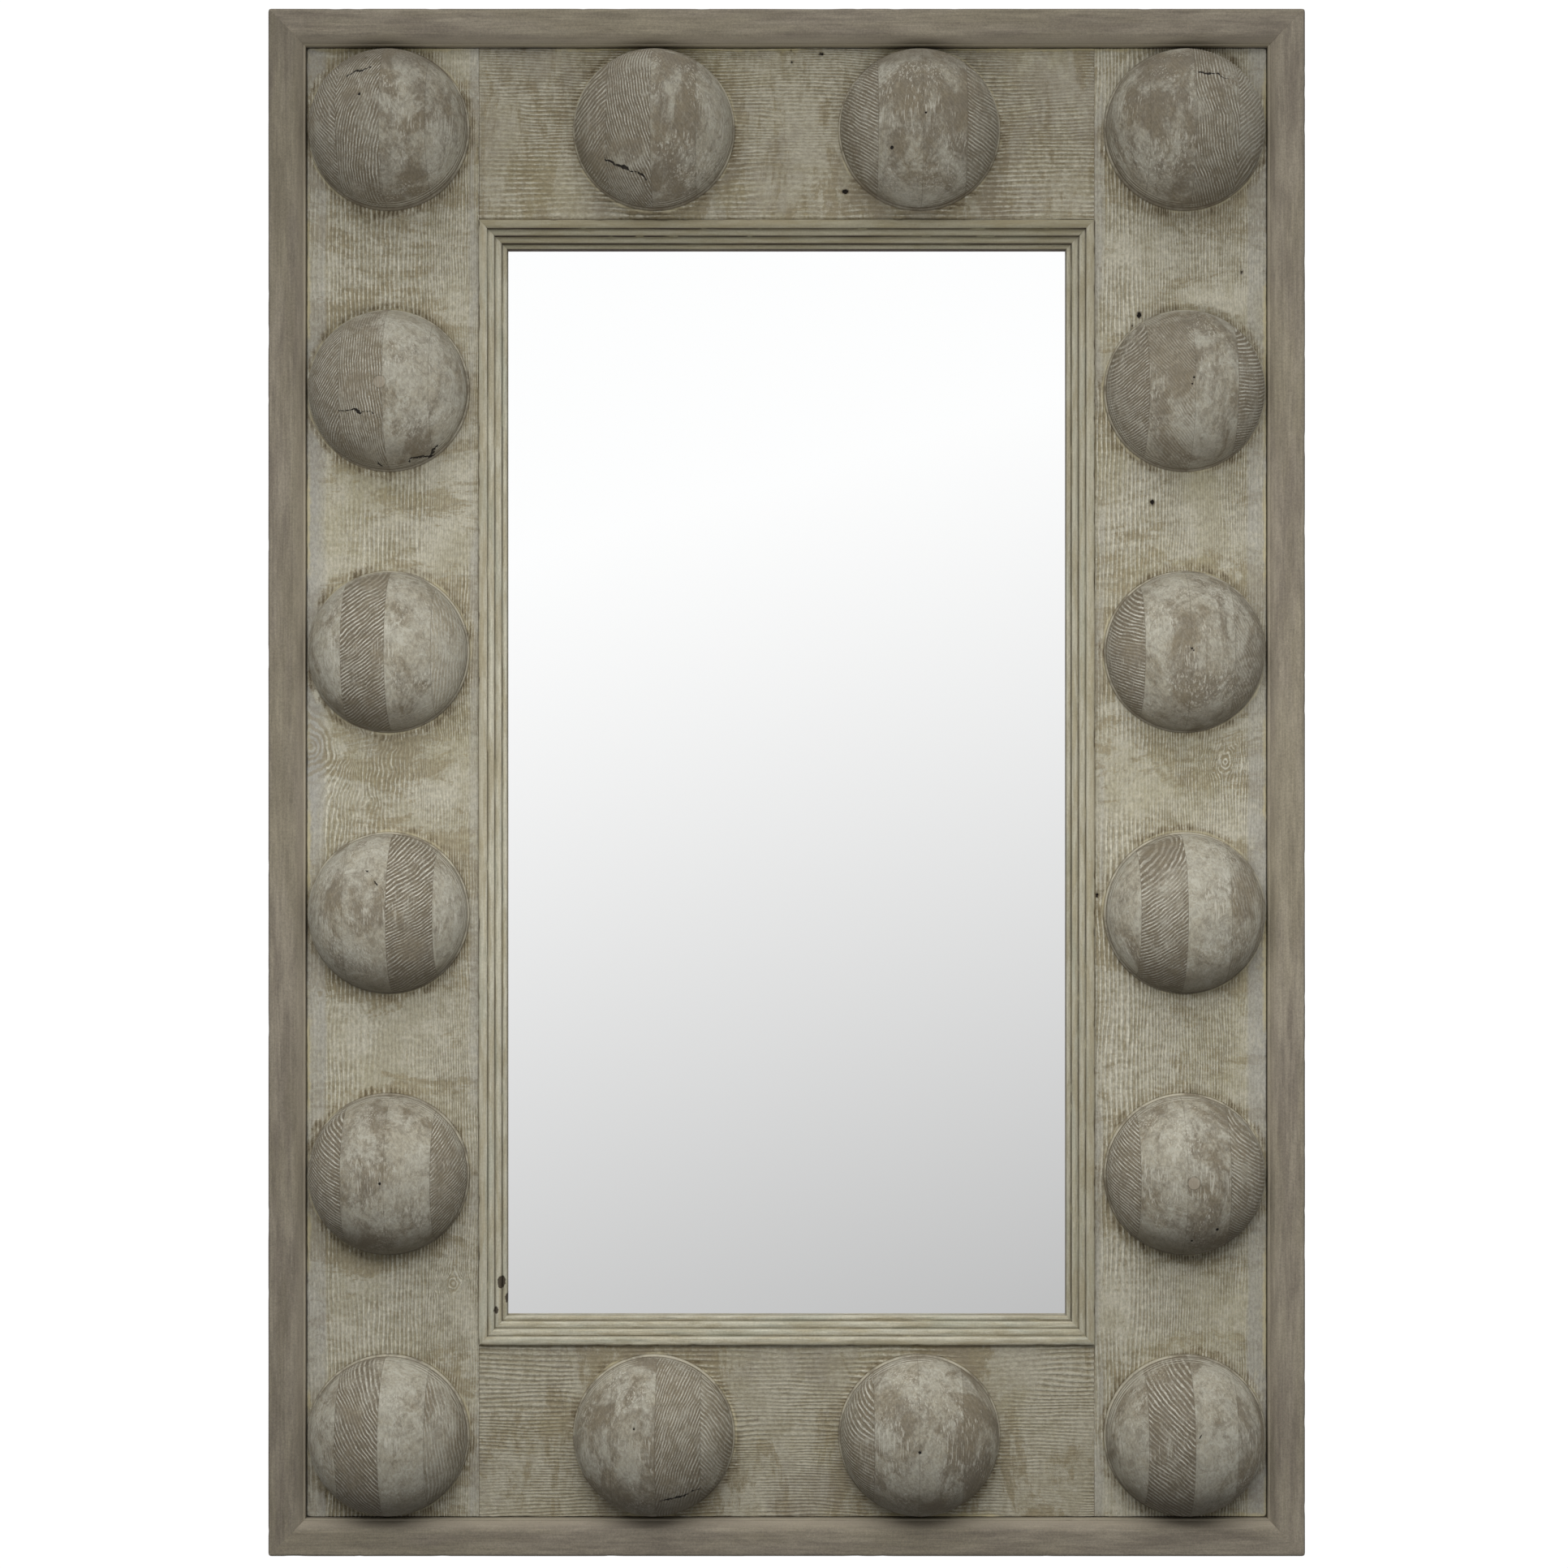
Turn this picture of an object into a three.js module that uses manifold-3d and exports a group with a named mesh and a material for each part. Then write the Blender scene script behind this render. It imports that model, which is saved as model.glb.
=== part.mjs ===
// A wall mirror in a wide wooden frame that carries sixteen turned domes.
// Millimetres. X runs across the frame, +Z is up and the front faces -Y.
// The origin is the centre of the plane where the frame touches the wall.
// "Left" and "right" are as seen from the front, and "out" means away from the wall.

import * as THREE from 'three';
import { mergeVertices } from 'three/addons/utils/BufferGeometryUtils.js';
import Module from 'manifold-3d';

const wasm = await Module();
wasm.setup();

// ---- Driving dimensions ----

const overallWidth = 1222;
const overallHeight = 1824;
const seat = 0.3; // glue line or resting gap between two pieces

// Outer moulding, measured in from its outside edge and out from the wall
const mouldingFlat = 29; // outside edge to the start of the slope
const mouldingSlope = 11.5; // width of the slope down to the lip
const mouldingLip = 2.5; // narrow flat at the foot of the slope
const lipThickness = 6.7;
const slopeDrop = 8;
const outsideEdgeRadius = 4;
const lipChamfer = 0.8;
const rebateWidth = 8; // how far the lip covers the boards
const cornerRadius = 5; // sanded corners of the finished frame

// Boards
const boardThickness = 25;
const wallAir = 2.1; // room left between the wall and what hides in the back recess

// Domes
const domeRadius = 95.5;
const domeHeight = 80;
const domeFootHeight = 4; // straight foot under the curve
const domeShoulder = 2; // step in from the foot to the curve
const domeOuterMargin = 2; // dome to the moulding's lip
const domeInnerMargin = 11; // dome to the window's edge
const domeRows = 6;
const domeColumns = 4;

// Reeded moulding that steps down to the glass
const reedWidths = [10, 8, 8, 6];
const reedProud = 7; // outermost reed above the boards
const reedStep = 5.6; // each reed below the one before
const reedCrown = 1.9; // how far a reed falls from its crown to its edges
const glassRebateWall = 10; // wood between the boards and the glass

// Glass and backing
const glassThickness = 6;
const glassEdgeAir = 0.7;
const backingThickness = 9;
const backingOverlap = 30; // onto the backs of the boards
const backingCornerCut = 8;

// Dowels in the butt joints between stiles and rails
const dowelDiameter = 12;
const dowelLength = 80;
const dowelSpacing = 110;
const dowelEndAir = 1;

// Strap hangers and D-rings
const hangerDrop = 312; // frame top down to the hinge line
const strapWidth = 19;
const strapThickness = 2;
const strapBelowRing = 34;
const wireDiameter = 5;
const eyeClearance = 0.3;
const eyeEndAngle = -115; // degrees, where the rolled eye stops short of the strap
const ringSideClearance = 2; // wire to the eye's end face
const ringCornerRadius = 4;
const ringSideLength = 4; // straight side between the corner and the bow
const screwShankDiameter = 4.4;
const screwHeadDiameter = 8.2;
const screwHeadHeight = 2.4;
const screwLength = 20;
const screwTipLength = 4;
const screwEdgeDistance = 8; // strap's end to the lower screw
const screwSpacing = 18;

// Smoothness
const domeFacets = 32;
const domeRings = 7;
const profileSteps = 4;
const roundFacets = 16;
const eyeFacets = 24;
const wireFacets = 12;
const cornerSteps = 3;
const bowSteps = 12;

// ---- Derived places ----

const mouldingFace = mouldingFlat + mouldingSlope + mouldingLip;
const mouldingBody = mouldingFace - rebateWidth;
const eyeBoreRadius = wireDiameter / 2 + eyeClearance;
const eyeRadius = eyeBoreRadius + strapThickness;
const backRecess = seat + Math.max(backingThickness, 2 * eyeRadius) + wallAir;
const boardBack = backRecess;
const boardFront = boardBack + boardThickness;
const boardMiddle = boardBack + boardThickness / 2;
const lipFront = boardFront + seat + lipThickness;
const mouldingFront = lipFront + slopeDrop;

const boardSight = domeOuterMargin + 2 * domeRadius + domeInnerMargin;
const windowHalfWidth = overallWidth / 2 - mouldingFace - boardSight;
const windowHalfHeight = overallHeight / 2 - mouldingFace - boardSight;
const boardHalfWidth = overallWidth / 2 - mouldingBody - seat;
const boardHalfHeight = overallHeight / 2 - mouldingBody - seat;
const railMiddle = (windowHalfHeight + boardHalfHeight) / 2;

const domeX = overallWidth / 2 - mouldingFace - domeOuterMargin - domeRadius;
const domeZ = overallHeight / 2 - mouldingFace - domeOuterMargin - domeRadius;
const reedWidth = reedWidths.reduce((sum, width) => sum + width, 0);
const glassFront = boardBack + glassThickness;

const hangerX = windowHalfWidth + boardSight / 2;
const hangerZ = overallHeight / 2 - hangerDrop;
const hingeDepth = boardBack - seat - eyeRadius;
const ringHalfWidth = strapWidth / 2 + ringSideClearance + wireDiameter / 2;
const ringDrop = ringCornerRadius + ringSideLength + ringHalfWidth + wireDiameter / 2;
const strapLength = ringDrop + strapBelowRing;

// ---- Materials ----

function finish(color, roughness, metalness = 0) {
  return new THREE.MeshStandardMaterial({ color, roughness, metalness });
}

const mouldingWood = finish(0x7f7668, 0.75);
const boardWood = finish(0x99927f, 0.85);
const domeWood = finish(0x8a8373, 0.8);
const reedWood = finish(0x9a9480, 0.8);
const dowelWood = finish(0xc8a877, 0.7);
const backingBoardBrown = finish(0x8c6f4e, 0.9);
const mirrorSilver = finish(0xe8eaec, 0.03, 1);
const zincSteel = finish(0xb4b8bb, 0.35, 1);

// ---- Geometry helpers ----

function weld(geometry) {
  geometry.deleteAttribute('normal');
  geometry.deleteAttribute('uv');
  const merged = mergeVertices(geometry, 1e-4);
  const corners = merged.getIndex().array;
  const kept = [];
  for (let i = 0; i < corners.length; i += 3) {
    const [a, b, c] = corners.slice(i, i + 3);
    if (a !== b && b !== c && c !== a) {
      kept.push(a, b, c);
    }
  }
  merged.setIndex(kept);
  merged.computeVertexNormals();
  return merged;
}

function toSolid(geometry) {
  const welded = weld(geometry.clone());
  return new wasm.Manifold(new wasm.Mesh({
    numProp: 3,
    vertProperties: new Float32Array(welded.getAttribute('position').array),
    triVerts: new Uint32Array(welded.getIndex().array),
  }));
}

function toGeometry(solid) {
  const mesh = solid.getMesh();
  const geometry = new THREE.BufferGeometry();
  geometry.setAttribute('position', new THREE.Float32BufferAttribute(mesh.vertProperties, 3));
  geometry.setIndex(Array.from(mesh.triVerts));
  geometry.computeVertexNormals();
  return geometry;
}

function cutAway(geometry, cutters) {
  let solid = toSolid(geometry);
  for (const cutter of cutters) {
    solid = solid.subtract(toSolid(cutter));
  }
  return toGeometry(solid);
}

function common(geometry, other) {
  return toGeometry(toSolid(geometry).intersect(toSolid(other)));
}

function rodAlongX(radius, length, facets) {
  return new THREE.CylinderGeometry(radius, radius, length, facets).rotateZ(Math.PI / 2);
}

function place(mesh, name, x, y, z) {
  mesh.name = name;
  mesh.position.set(x, y, z);
  return mesh;
}

// ---- Mitred mouldings ----

// A length along X. The section gives (distance in from the outside edge, distance out
// from the wall), and each end is trimmed at 45 degrees with half a glue line to spare.
function mitredLength(section, length) {
  const geometry = new THREE.ExtrudeGeometry(section, {
    depth: length,
    bevelEnabled: false,
    curveSegments: profileSteps,
  });
  const glueLine = seat / Math.SQRT2;
  const position = geometry.getAttribute('position');
  for (let i = 0; i < position.count; i += 1) {
    const trim = position.getX(i) + glueLine;
    const atFarEnd = position.getZ(i) > length / 2;
    position.setZ(i, atFarEnd ? length / 2 - trim : trim - length / 2);
  }
  const inward = new THREE.Vector3(0, 0, 1);
  const outFromWall = new THREE.Vector3(0, -1, 0);
  const along = new THREE.Vector3(1, 0, 0);
  geometry.applyMatrix4(new THREE.Matrix4().makeBasis(inward, outFromWall, along));
  return weld(geometry);
}

// Four lengths round a rectangle. build(length) makes one with its outside edge at z = 0.
function fourSides(prefix, width, height, material, build) {
  const group = new THREE.Group();
  const sides = [
    ['bottom', width, 0, 0, -height / 2],
    ['top', width, Math.PI, 0, height / 2],
    ['left', height, Math.PI / 2, -width / 2, 0],
    ['right', height, -Math.PI / 2, width / 2, 0],
  ];
  for (const [side, length, turn, x, z] of sides) {
    const mesh = place(new THREE.Mesh(build(length), material), `${prefix}_${side}`, x, 0, z);
    mesh.rotation.y = turn;
    group.add(mesh);
  }
  return group;
}

function outerSection() {
  const section = new THREE.Shape();
  section.moveTo(0, 0);
  section.lineTo(0, mouldingFront - outsideEdgeRadius);
  section.absarc(outsideEdgeRadius, mouldingFront - outsideEdgeRadius, outsideEdgeRadius,
    Math.PI, Math.PI / 2, true);
  section.lineTo(mouldingFlat, mouldingFront);
  section.quadraticCurveTo(
    mouldingFlat + mouldingSlope / 2, mouldingFront - slopeDrop / 8,
    mouldingFlat + mouldingSlope, lipFront);
  section.lineTo(mouldingFace - lipChamfer, lipFront);
  section.lineTo(mouldingFace, lipFront - lipChamfer);
  section.lineTo(mouldingFace, boardFront + seat);
  section.lineTo(mouldingBody, boardFront + seat);
  section.lineTo(mouldingBody, 0);
  section.closePath();
  return section;
}

// The space inside the frame's sanded corners, for a length whose outside edge is at z = 0.
function sandedCorners(length) {
  const outline = new THREE.Shape();
  const half = length / 2;
  outline.moveTo(-half, mouldingFace + cornerRadius);
  outline.lineTo(-half, cornerRadius);
  outline.absarc(cornerRadius - half, cornerRadius, cornerRadius, Math.PI, 1.5 * Math.PI, false);
  outline.absarc(half - cornerRadius, cornerRadius, cornerRadius, 1.5 * Math.PI, 2 * Math.PI, false);
  outline.lineTo(half, mouldingFace + cornerRadius);
  outline.closePath();
  const margin = cornerRadius;
  return new THREE.ExtrudeGeometry(outline, {
    depth: mouldingFront + 2 * margin,
    bevelEnabled: false,
    curveSegments: profileSteps,
  }).rotateX(Math.PI / 2).translate(0, margin, 0);
}

function outerMoulding() {
  return fourSides('moulding', overallWidth, overallHeight, mouldingWood,
    (length) => common(mitredLength(outerSection(), length), sandedCorners(length)));
}

function reedSection() {
  const section = new THREE.Shape();
  section.moveTo(0, boardBack);
  let inner = 0;
  let crown = boardFront + reedProud;
  for (const width of reedWidths) {
    section.lineTo(inner, crown - reedCrown);
    section.quadraticCurveTo(inner + width * 0.12, crown, inner + width / 2, crown);
    section.quadraticCurveTo(inner + width * 0.88, crown, inner + width, crown - reedCrown);
    inner += width;
    crown -= reedStep;
  }
  section.lineTo(reedWidth, glassFront + seat);
  section.lineTo(glassRebateWall, glassFront + seat);
  section.lineTo(glassRebateWall, boardBack);
  section.closePath();
  return section;
}

function reededMoulding() {
  const width = 2 * (windowHalfWidth - seat);
  const height = 2 * (windowHalfHeight - seat);
  return fourSides('reeded_moulding', width, height, reedWood,
    (length) => mitredLength(reedSection(), length));
}

// ---- Boards and dowels ----

// Every dowel of the four butt joints: its name and its centre.
function dowelPlaces() {
  const places = [];
  for (const [end, zSign] of [['top', 1], ['bottom', -1]]) {
    for (const [side, xSign] of [['left', -1], ['right', 1]]) {
      for (const [number, offset] of [[1, dowelSpacing / 2], [2, -dowelSpacing / 2]]) {
        places.push({
          name: `dowel_${end}_${side}_${number}`,
          x: xSign * (windowHalfWidth - seat / 2),
          z: zSign * railMiddle + offset,
        });
      }
    }
  }
  return places;
}

// The places of one hanger's screws, as distances below its hinge line.
function screwDrops() {
  const lowest = strapLength - screwEdgeDistance;
  return [lowest - screwSpacing, lowest];
}

function dowelHoles() {
  const radius = dowelDiameter / 2 + seat;
  const length = dowelLength + 2 * dowelEndAir;
  return dowelPlaces().map((dowel) => (
    rodAlongX(radius, length, roundFacets).translate(dowel.x, -boardMiddle, dowel.z)));
}

function hangerScrewHoles() {
  const depth = screwLength - strapThickness + dowelEndAir;
  const radius = screwShankDiameter / 2 + seat;
  const holes = [];
  for (const side of [-1, 1]) {
    for (const drop of screwDrops()) {
      holes.push(new THREE.CylinderGeometry(radius, radius, 2 * depth, wireFacets)
        .translate(side * hangerX, -boardBack, hangerZ - drop));
    }
  }
  return holes;
}

function board(name, x, z, width, height, holes) {
  const slab = new THREE.BoxGeometry(width, boardThickness, height);
  const localHoles = holes.map((hole) => hole.translate(-x, boardMiddle, -z));
  const mesh = new THREE.Mesh(cutAway(slab, localHoles), boardWood);
  return place(mesh, name, x, -boardMiddle, z);
}

function boards() {
  const group = new THREE.Group();
  const stileX = (windowHalfWidth + boardHalfWidth) / 2;
  const stileWidth = boardHalfWidth - windowHalfWidth;
  const railLength = 2 * (windowHalfWidth - seat);
  const railHeight = boardHalfHeight - windowHalfHeight;
  for (const [side, sign] of [['left', -1], ['right', 1]]) {
    const holes = [...dowelHoles(), ...hangerScrewHoles()];
    group.add(board(`stile_${side}`, sign * stileX, 0, stileWidth, 2 * boardHalfHeight, holes));
  }
  for (const [end, sign] of [['top', 1], ['bottom', -1]]) {
    group.add(board(`rail_${end}`, 0, sign * railMiddle, railLength, railHeight, dowelHoles()));
  }
  return group;
}

function dowels() {
  const group = new THREE.Group();
  for (const dowel of dowelPlaces()) {
    const rod = weld(rodAlongX(dowelDiameter / 2, dowelLength, roundFacets));
    group.add(place(new THREE.Mesh(rod, dowelWood), dowel.name, dowel.x, -boardMiddle, dowel.z));
  }
  return group;
}

// ---- Domes ----

// A turned dome: flat base, straight foot, small shoulder, then a quarter of an ellipse.
function domeShape() {
  const curveRadius = domeRadius - domeShoulder;
  const curveStart = domeFootHeight + domeShoulder / 2;
  const curveHeight = domeHeight - curveStart;
  const outline = [
    new THREE.Vector2(0, 0),
    new THREE.Vector2(domeRadius, 0),
    new THREE.Vector2(domeRadius, domeFootHeight),
  ];
  for (let ring = 0; ring < domeRings; ring += 1) {
    const angle = (ring / domeRings) * (Math.PI / 2);
    outline.push(new THREE.Vector2(
      curveRadius * Math.cos(angle), curveStart + curveHeight * Math.sin(angle)));
  }
  outline.push(new THREE.Vector2(0, domeHeight));
  return weld(new THREE.LatheGeometry(outline, domeFacets));
}

function dome(name, x, z) {
  const mesh = place(new THREE.Mesh(domeShape(), domeWood), name, x, -(boardFront + seat), z);
  mesh.rotation.x = Math.PI;
  return mesh;
}

function domes() {
  const group = new THREE.Group();
  const rowPitch = (2 * domeZ) / (domeRows - 1);
  const columnPitch = (2 * domeX) / (domeColumns - 1);
  for (const [side, sign] of [['left', -1], ['right', 1]]) {
    for (let row = 0; row < domeRows; row += 1) {
      group.add(dome(`dome_${side}_${row + 1}`, sign * domeX, domeZ - row * rowPitch));
    }
  }
  for (const [end, sign] of [['top', 1], ['bottom', -1]]) {
    for (let column = 1; column < domeColumns - 1; column += 1) {
      group.add(dome(`dome_${end}_${column}`, column * columnPitch - domeX, sign * domeZ));
    }
  }
  return group;
}

// ---- Glass and backing ----

function mirrorGlass() {
  const inset = seat + glassRebateWall + glassEdgeAir;
  const sheet = new THREE.BoxGeometry(
    2 * (windowHalfWidth - inset), glassThickness, 2 * (windowHalfHeight - inset));
  const mesh = new THREE.Mesh(weld(sheet), mirrorSilver);
  return place(mesh, 'mirror_glass', 0, -(boardBack + glassThickness / 2), 0);
}

function backingBoard() {
  const halfWidth = windowHalfWidth + backingOverlap;
  const halfHeight = windowHalfHeight + backingOverlap;
  const outline = new THREE.Shape();
  outline.moveTo(-halfWidth, backingCornerCut - halfHeight);
  outline.lineTo(backingCornerCut - halfWidth, -halfHeight);
  outline.lineTo(halfWidth - backingCornerCut, -halfHeight);
  outline.lineTo(halfWidth, backingCornerCut - halfHeight);
  outline.lineTo(halfWidth, halfHeight - backingCornerCut);
  outline.lineTo(halfWidth - backingCornerCut, halfHeight);
  outline.lineTo(backingCornerCut - halfWidth, halfHeight);
  outline.lineTo(-halfWidth, halfHeight - backingCornerCut);
  outline.closePath();
  const panel = new THREE.ExtrudeGeometry(outline, { depth: backingThickness, bevelEnabled: false });
  panel.rotateX(Math.PI / 2);
  const mesh = new THREE.Mesh(weld(panel), backingBoardBrown);
  return place(mesh, 'backing_board', 0, -(boardBack - seat - backingThickness), 0);
}

// ---- Hangers ----

// A steel strap whose top is rolled into an eye. The hinge line is the origin.
function strapShape() {
  const end = THREE.MathUtils.degToRad(eyeEndAngle);
  const side = new THREE.Shape();
  side.moveTo(0, -strapLength);
  side.lineTo(0, 0);
  side.absarc(eyeRadius, 0, eyeRadius, Math.PI, end, true);
  side.absarc(eyeRadius, 0, eyeBoreRadius, end, Math.PI, false);
  side.lineTo(strapThickness, -strapLength);
  side.closePath();
  const strip = new THREE.ExtrudeGeometry(side, {
    depth: strapWidth,
    bevelEnabled: false,
    curveSegments: eyeFacets / 2,
  });
  const towardsWall = new THREE.Vector3(0, 1, 0);
  const up = new THREE.Vector3(0, 0, 1);
  const across = new THREE.Vector3(1, 0, 0);
  strip.applyMatrix4(new THREE.Matrix4().makeBasis(towardsWall, up, across));
  strip.translate(-strapWidth / 2, -eyeRadius, 0);
  const holeRadius = screwShankDiameter / 2 + seat;
  const holes = screwDrops().map((drop) => (
    new THREE.CylinderGeometry(holeRadius, holeRadius, 4 * strapThickness, wireFacets)
      .translate(0, -eyeRadius, -drop)));
  return cutAway(strip, holes);
}

// A pan-head wood screw. The underside of its head is the origin and the head points to +Y.
function screwShape() {
  const shank = screwShankDiameter / 2;
  const head = screwHeadDiameter / 2;
  const outline = [
    [0, -screwLength],
    [shank, screwTipLength - screwLength],
    [shank, 0],
    [head, 0],
    [head, screwHeadHeight / 3],
    [head * 0.72, screwHeadHeight * 0.85],
    [0, screwHeadHeight],
  ];
  const points = outline.map(([radius, height]) => new THREE.Vector2(radius, height));
  return weld(new THREE.LatheGeometry(points, wireFacets));
}

// Points along an arc in the ring's plane, from one angle to another in degrees.
function arcPoints(x, z, radius, from, to, steps) {
  const points = [];
  for (let step = 0; step <= steps; step += 1) {
    const angle = THREE.MathUtils.degToRad(from + ((to - from) * step) / steps);
    points.push(new THREE.Vector2(x + radius * Math.cos(angle), z + radius * Math.sin(angle)));
  }
  return points;
}

// The centre line of the ring as it hangs, in its own plane: corner, bow, corner, and the
// straight bar on the hinge line that closes it.
function ringLine() {
  const barHalf = ringHalfWidth - ringCornerRadius;
  const bowCentre = -(ringCornerRadius + ringSideLength);
  return [
    ...arcPoints(barHalf, -ringCornerRadius, ringCornerRadius, 90, 0, cornerSteps),
    ...arcPoints(0, bowCentre, ringHalfWidth, 0, -180, bowSteps),
    ...arcPoints(-barHalf, -ringCornerRadius, ringCornerRadius, 180, 90, cornerSteps),
  ];
}

// Round wire along a closed line in the XZ plane, mitred at every point of the line.
function ringShape() {
  const line = ringLine();
  const radius = wireDiameter / 2;
  const vertices = [];
  const triangles = [];
  line.forEach((point, i) => {
    const before = line[(i + line.length - 1) % line.length];
    const after = line[(i + 1) % line.length];
    const arriving = point.clone().sub(before).normalize();
    const leaving = after.clone().sub(point).normalize();
    const tangent = arriving.clone().add(leaving).normalize();
    const reach = radius / tangent.dot(leaving);
    for (let j = 0; j < wireFacets; j += 1) {
      const angle = (2 * Math.PI * (j + 0.5)) / wireFacets;
      const sideways = reach * Math.cos(angle);
      vertices.push(point.x + tangent.y * sideways, radius * Math.sin(angle),
        point.y - tangent.x * sideways);
      const here = i * wireFacets + j;
      const beside = i * wireFacets + ((j + 1) % wireFacets);
      const ahead = ((i + 1) % line.length) * wireFacets + j;
      const aheadBeside = ((i + 1) % line.length) * wireFacets + ((j + 1) % wireFacets);
      triangles.push(here, beside, ahead, ahead, beside, aheadBeside);
    }
  });
  const geometry = new THREE.BufferGeometry();
  geometry.setAttribute('position', new THREE.Float32BufferAttribute(vertices, 3));
  geometry.setIndex(triangles);
  geometry.computeVertexNormals();
  return geometry;
}

function hanger(side, sign) {
  const group = new THREE.Group();
  group.position.set(sign * hangerX, -hingeDepth, hangerZ);
  group.add(place(new THREE.Mesh(strapShape(), zincSteel), `hanger_${side}`, 0, 0, 0));
  group.add(place(new THREE.Mesh(ringShape(), zincSteel), `d_ring_${side}`, 0, 0, 0));
  const underHead = strapThickness + seat - eyeRadius;
  screwDrops().forEach((drop, i) => {
    const screw = new THREE.Mesh(screwShape(), zincSteel);
    group.add(place(screw, `hanger_screw_${side}_${i + 1}`, 0, underHead, -drop));
  });
  return group;
}

// ---- The whole mirror ----

const mirror = new THREE.Group();
mirror.add(outerMoulding());
mirror.add(boards());
mirror.add(dowels());
mirror.add(domes());
mirror.add(reededMoulding());
mirror.add(mirrorGlass());
mirror.add(backingBoard());
mirror.add(hanger('left', -1));
mirror.add(hanger('right', 1));

export default mirror;
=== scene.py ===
"""Wall mirror: a flat glass in a wide frame of limed, wire-brushed boards with sixteen turned domes.

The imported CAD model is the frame. The boards, domes, mouldings, D-rings and hanger screws are
replaced by finer meshes of the same shapes, with brushed grain, lathe rings, cracks and wear. The
glass, the backing board, the dowels and the straps stay and get better materials. Lengths are in
millimetres unless a name says otherwise.
"""

import math

import bmesh
import bpy
import numpy as np
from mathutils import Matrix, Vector


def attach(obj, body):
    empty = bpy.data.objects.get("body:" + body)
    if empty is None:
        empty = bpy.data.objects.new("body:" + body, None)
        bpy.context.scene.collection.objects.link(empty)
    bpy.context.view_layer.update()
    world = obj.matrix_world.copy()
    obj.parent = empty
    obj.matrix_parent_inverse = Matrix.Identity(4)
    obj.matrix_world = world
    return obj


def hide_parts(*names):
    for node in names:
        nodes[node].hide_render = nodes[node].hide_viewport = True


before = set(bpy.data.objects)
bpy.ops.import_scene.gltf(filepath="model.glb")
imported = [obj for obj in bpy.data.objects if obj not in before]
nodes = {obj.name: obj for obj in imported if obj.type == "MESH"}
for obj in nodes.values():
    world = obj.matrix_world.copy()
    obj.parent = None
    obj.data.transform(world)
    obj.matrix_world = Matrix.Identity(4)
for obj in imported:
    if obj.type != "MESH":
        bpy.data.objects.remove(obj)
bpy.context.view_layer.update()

# ---- Driving dimensions, the same as the CAD model's ----

MM = 0.001
OVERALL_WIDTH = 1222.0
OVERALL_HEIGHT = 1824.0
SEAT = 0.3  # glue line or resting gap between two pieces

MOULDING_FLAT = 29.0
MOULDING_SLOPE = 11.5
MOULDING_LIP = 2.5
SLOPE_DROP = 8.0
LIP_THICKNESS = 6.7
LIP_CHAMFER = 0.8
REBATE_WIDTH = 8.0
OUTSIDE_EDGE_RADIUS = 4.0
CORNER_RADIUS = 5.0

BOARD_BACK = 12.0  # the room behind the boards
BOARD_THICKNESS = 25.0

DOME_RADIUS = 95.5
DOME_HEIGHT = 80.0
DOME_FOOT = 4.0
DOME_SHOULDER = 2.0
DOME_OUTER_MARGIN = 2.0
DOME_INNER_MARGIN = 11.0
STAVE_EDGES = (-52.0, 0.0, 52.0)  # the glue lines of a dome's block

REED_WIDTHS = (10.0, 8.0, 8.0, 6.0)
REED_PROUD = 7.0
REED_STEP = 5.6
REED_CROWN = 1.9
GLASS_WALL = 10.0
GLASS_FRONT = 18.0
BACKING_BACK = 2.7

HANGER_DROP = 312.0
HANGER_SCREW_DROPS = (32.5, 50.5)
STRAP_WIDTH = 19.0
STRAP_THICKNESS = 2.0
WIRE_DIAMETER = 5.0
WIRE_RADIUS = 2.41  # as the CAD wire measures across its flats
EYE_CLEARANCE = 0.3
RING_CLEARANCE = 2.0
RING_CORNER = 4.0
RING_SIDE = 4.0
HANGER_SCREW_HEAD = (3.95, 2.4)  # radius and height
BACKING_SCREW_HEAD = (3.6, 1.9)
DOME_SCREW_HEAD = (4.2, 2.4)
DOME_SCREW_SHIFT = 32.0  # from the dome's middle
BACKING_SCREW_SHIFT = 19.0  # outward from the window's edge

# ---- Worked out from them ----

HALF_WIDTH = OVERALL_WIDTH / 2
HALF_HEIGHT = OVERALL_HEIGHT / 2
MOULDING_FACE = MOULDING_FLAT + MOULDING_SLOPE + MOULDING_LIP
MOULDING_BODY = MOULDING_FACE - REBATE_WIDTH
BOARD_FRONT = BOARD_BACK + BOARD_THICKNESS
LIP_FRONT = BOARD_FRONT + SEAT + LIP_THICKNESS
MOULDING_FRONT = LIP_FRONT + SLOPE_DROP
BOARD_SIGHT = DOME_OUTER_MARGIN + 2 * DOME_RADIUS + DOME_INNER_MARGIN
WINDOW_HALF_WIDTH = HALF_WIDTH - MOULDING_FACE - BOARD_SIGHT
WINDOW_HALF_HEIGHT = HALF_HEIGHT - MOULDING_FACE - BOARD_SIGHT
BOARD_HALF_WIDTH = HALF_WIDTH - MOULDING_BODY - SEAT
BOARD_HALF_HEIGHT = HALF_HEIGHT - MOULDING_BODY - SEAT
DOME_BASE = BOARD_FRONT + SEAT
DOME_X = HALF_WIDTH - MOULDING_FACE - DOME_OUTER_MARGIN - DOME_RADIUS
DOME_Z = HALF_HEIGHT - MOULDING_FACE - DOME_OUTER_MARGIN - DOME_RADIUS
HANGER_X = WINDOW_HALF_WIDTH + BOARD_SIGHT / 2
HANGER_Z = HALF_HEIGHT - HANGER_DROP
HINGE_DEPTH = BOARD_BACK - SEAT - STRAP_THICKNESS - EYE_CLEARANCE - WIRE_DIAMETER / 2
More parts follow.
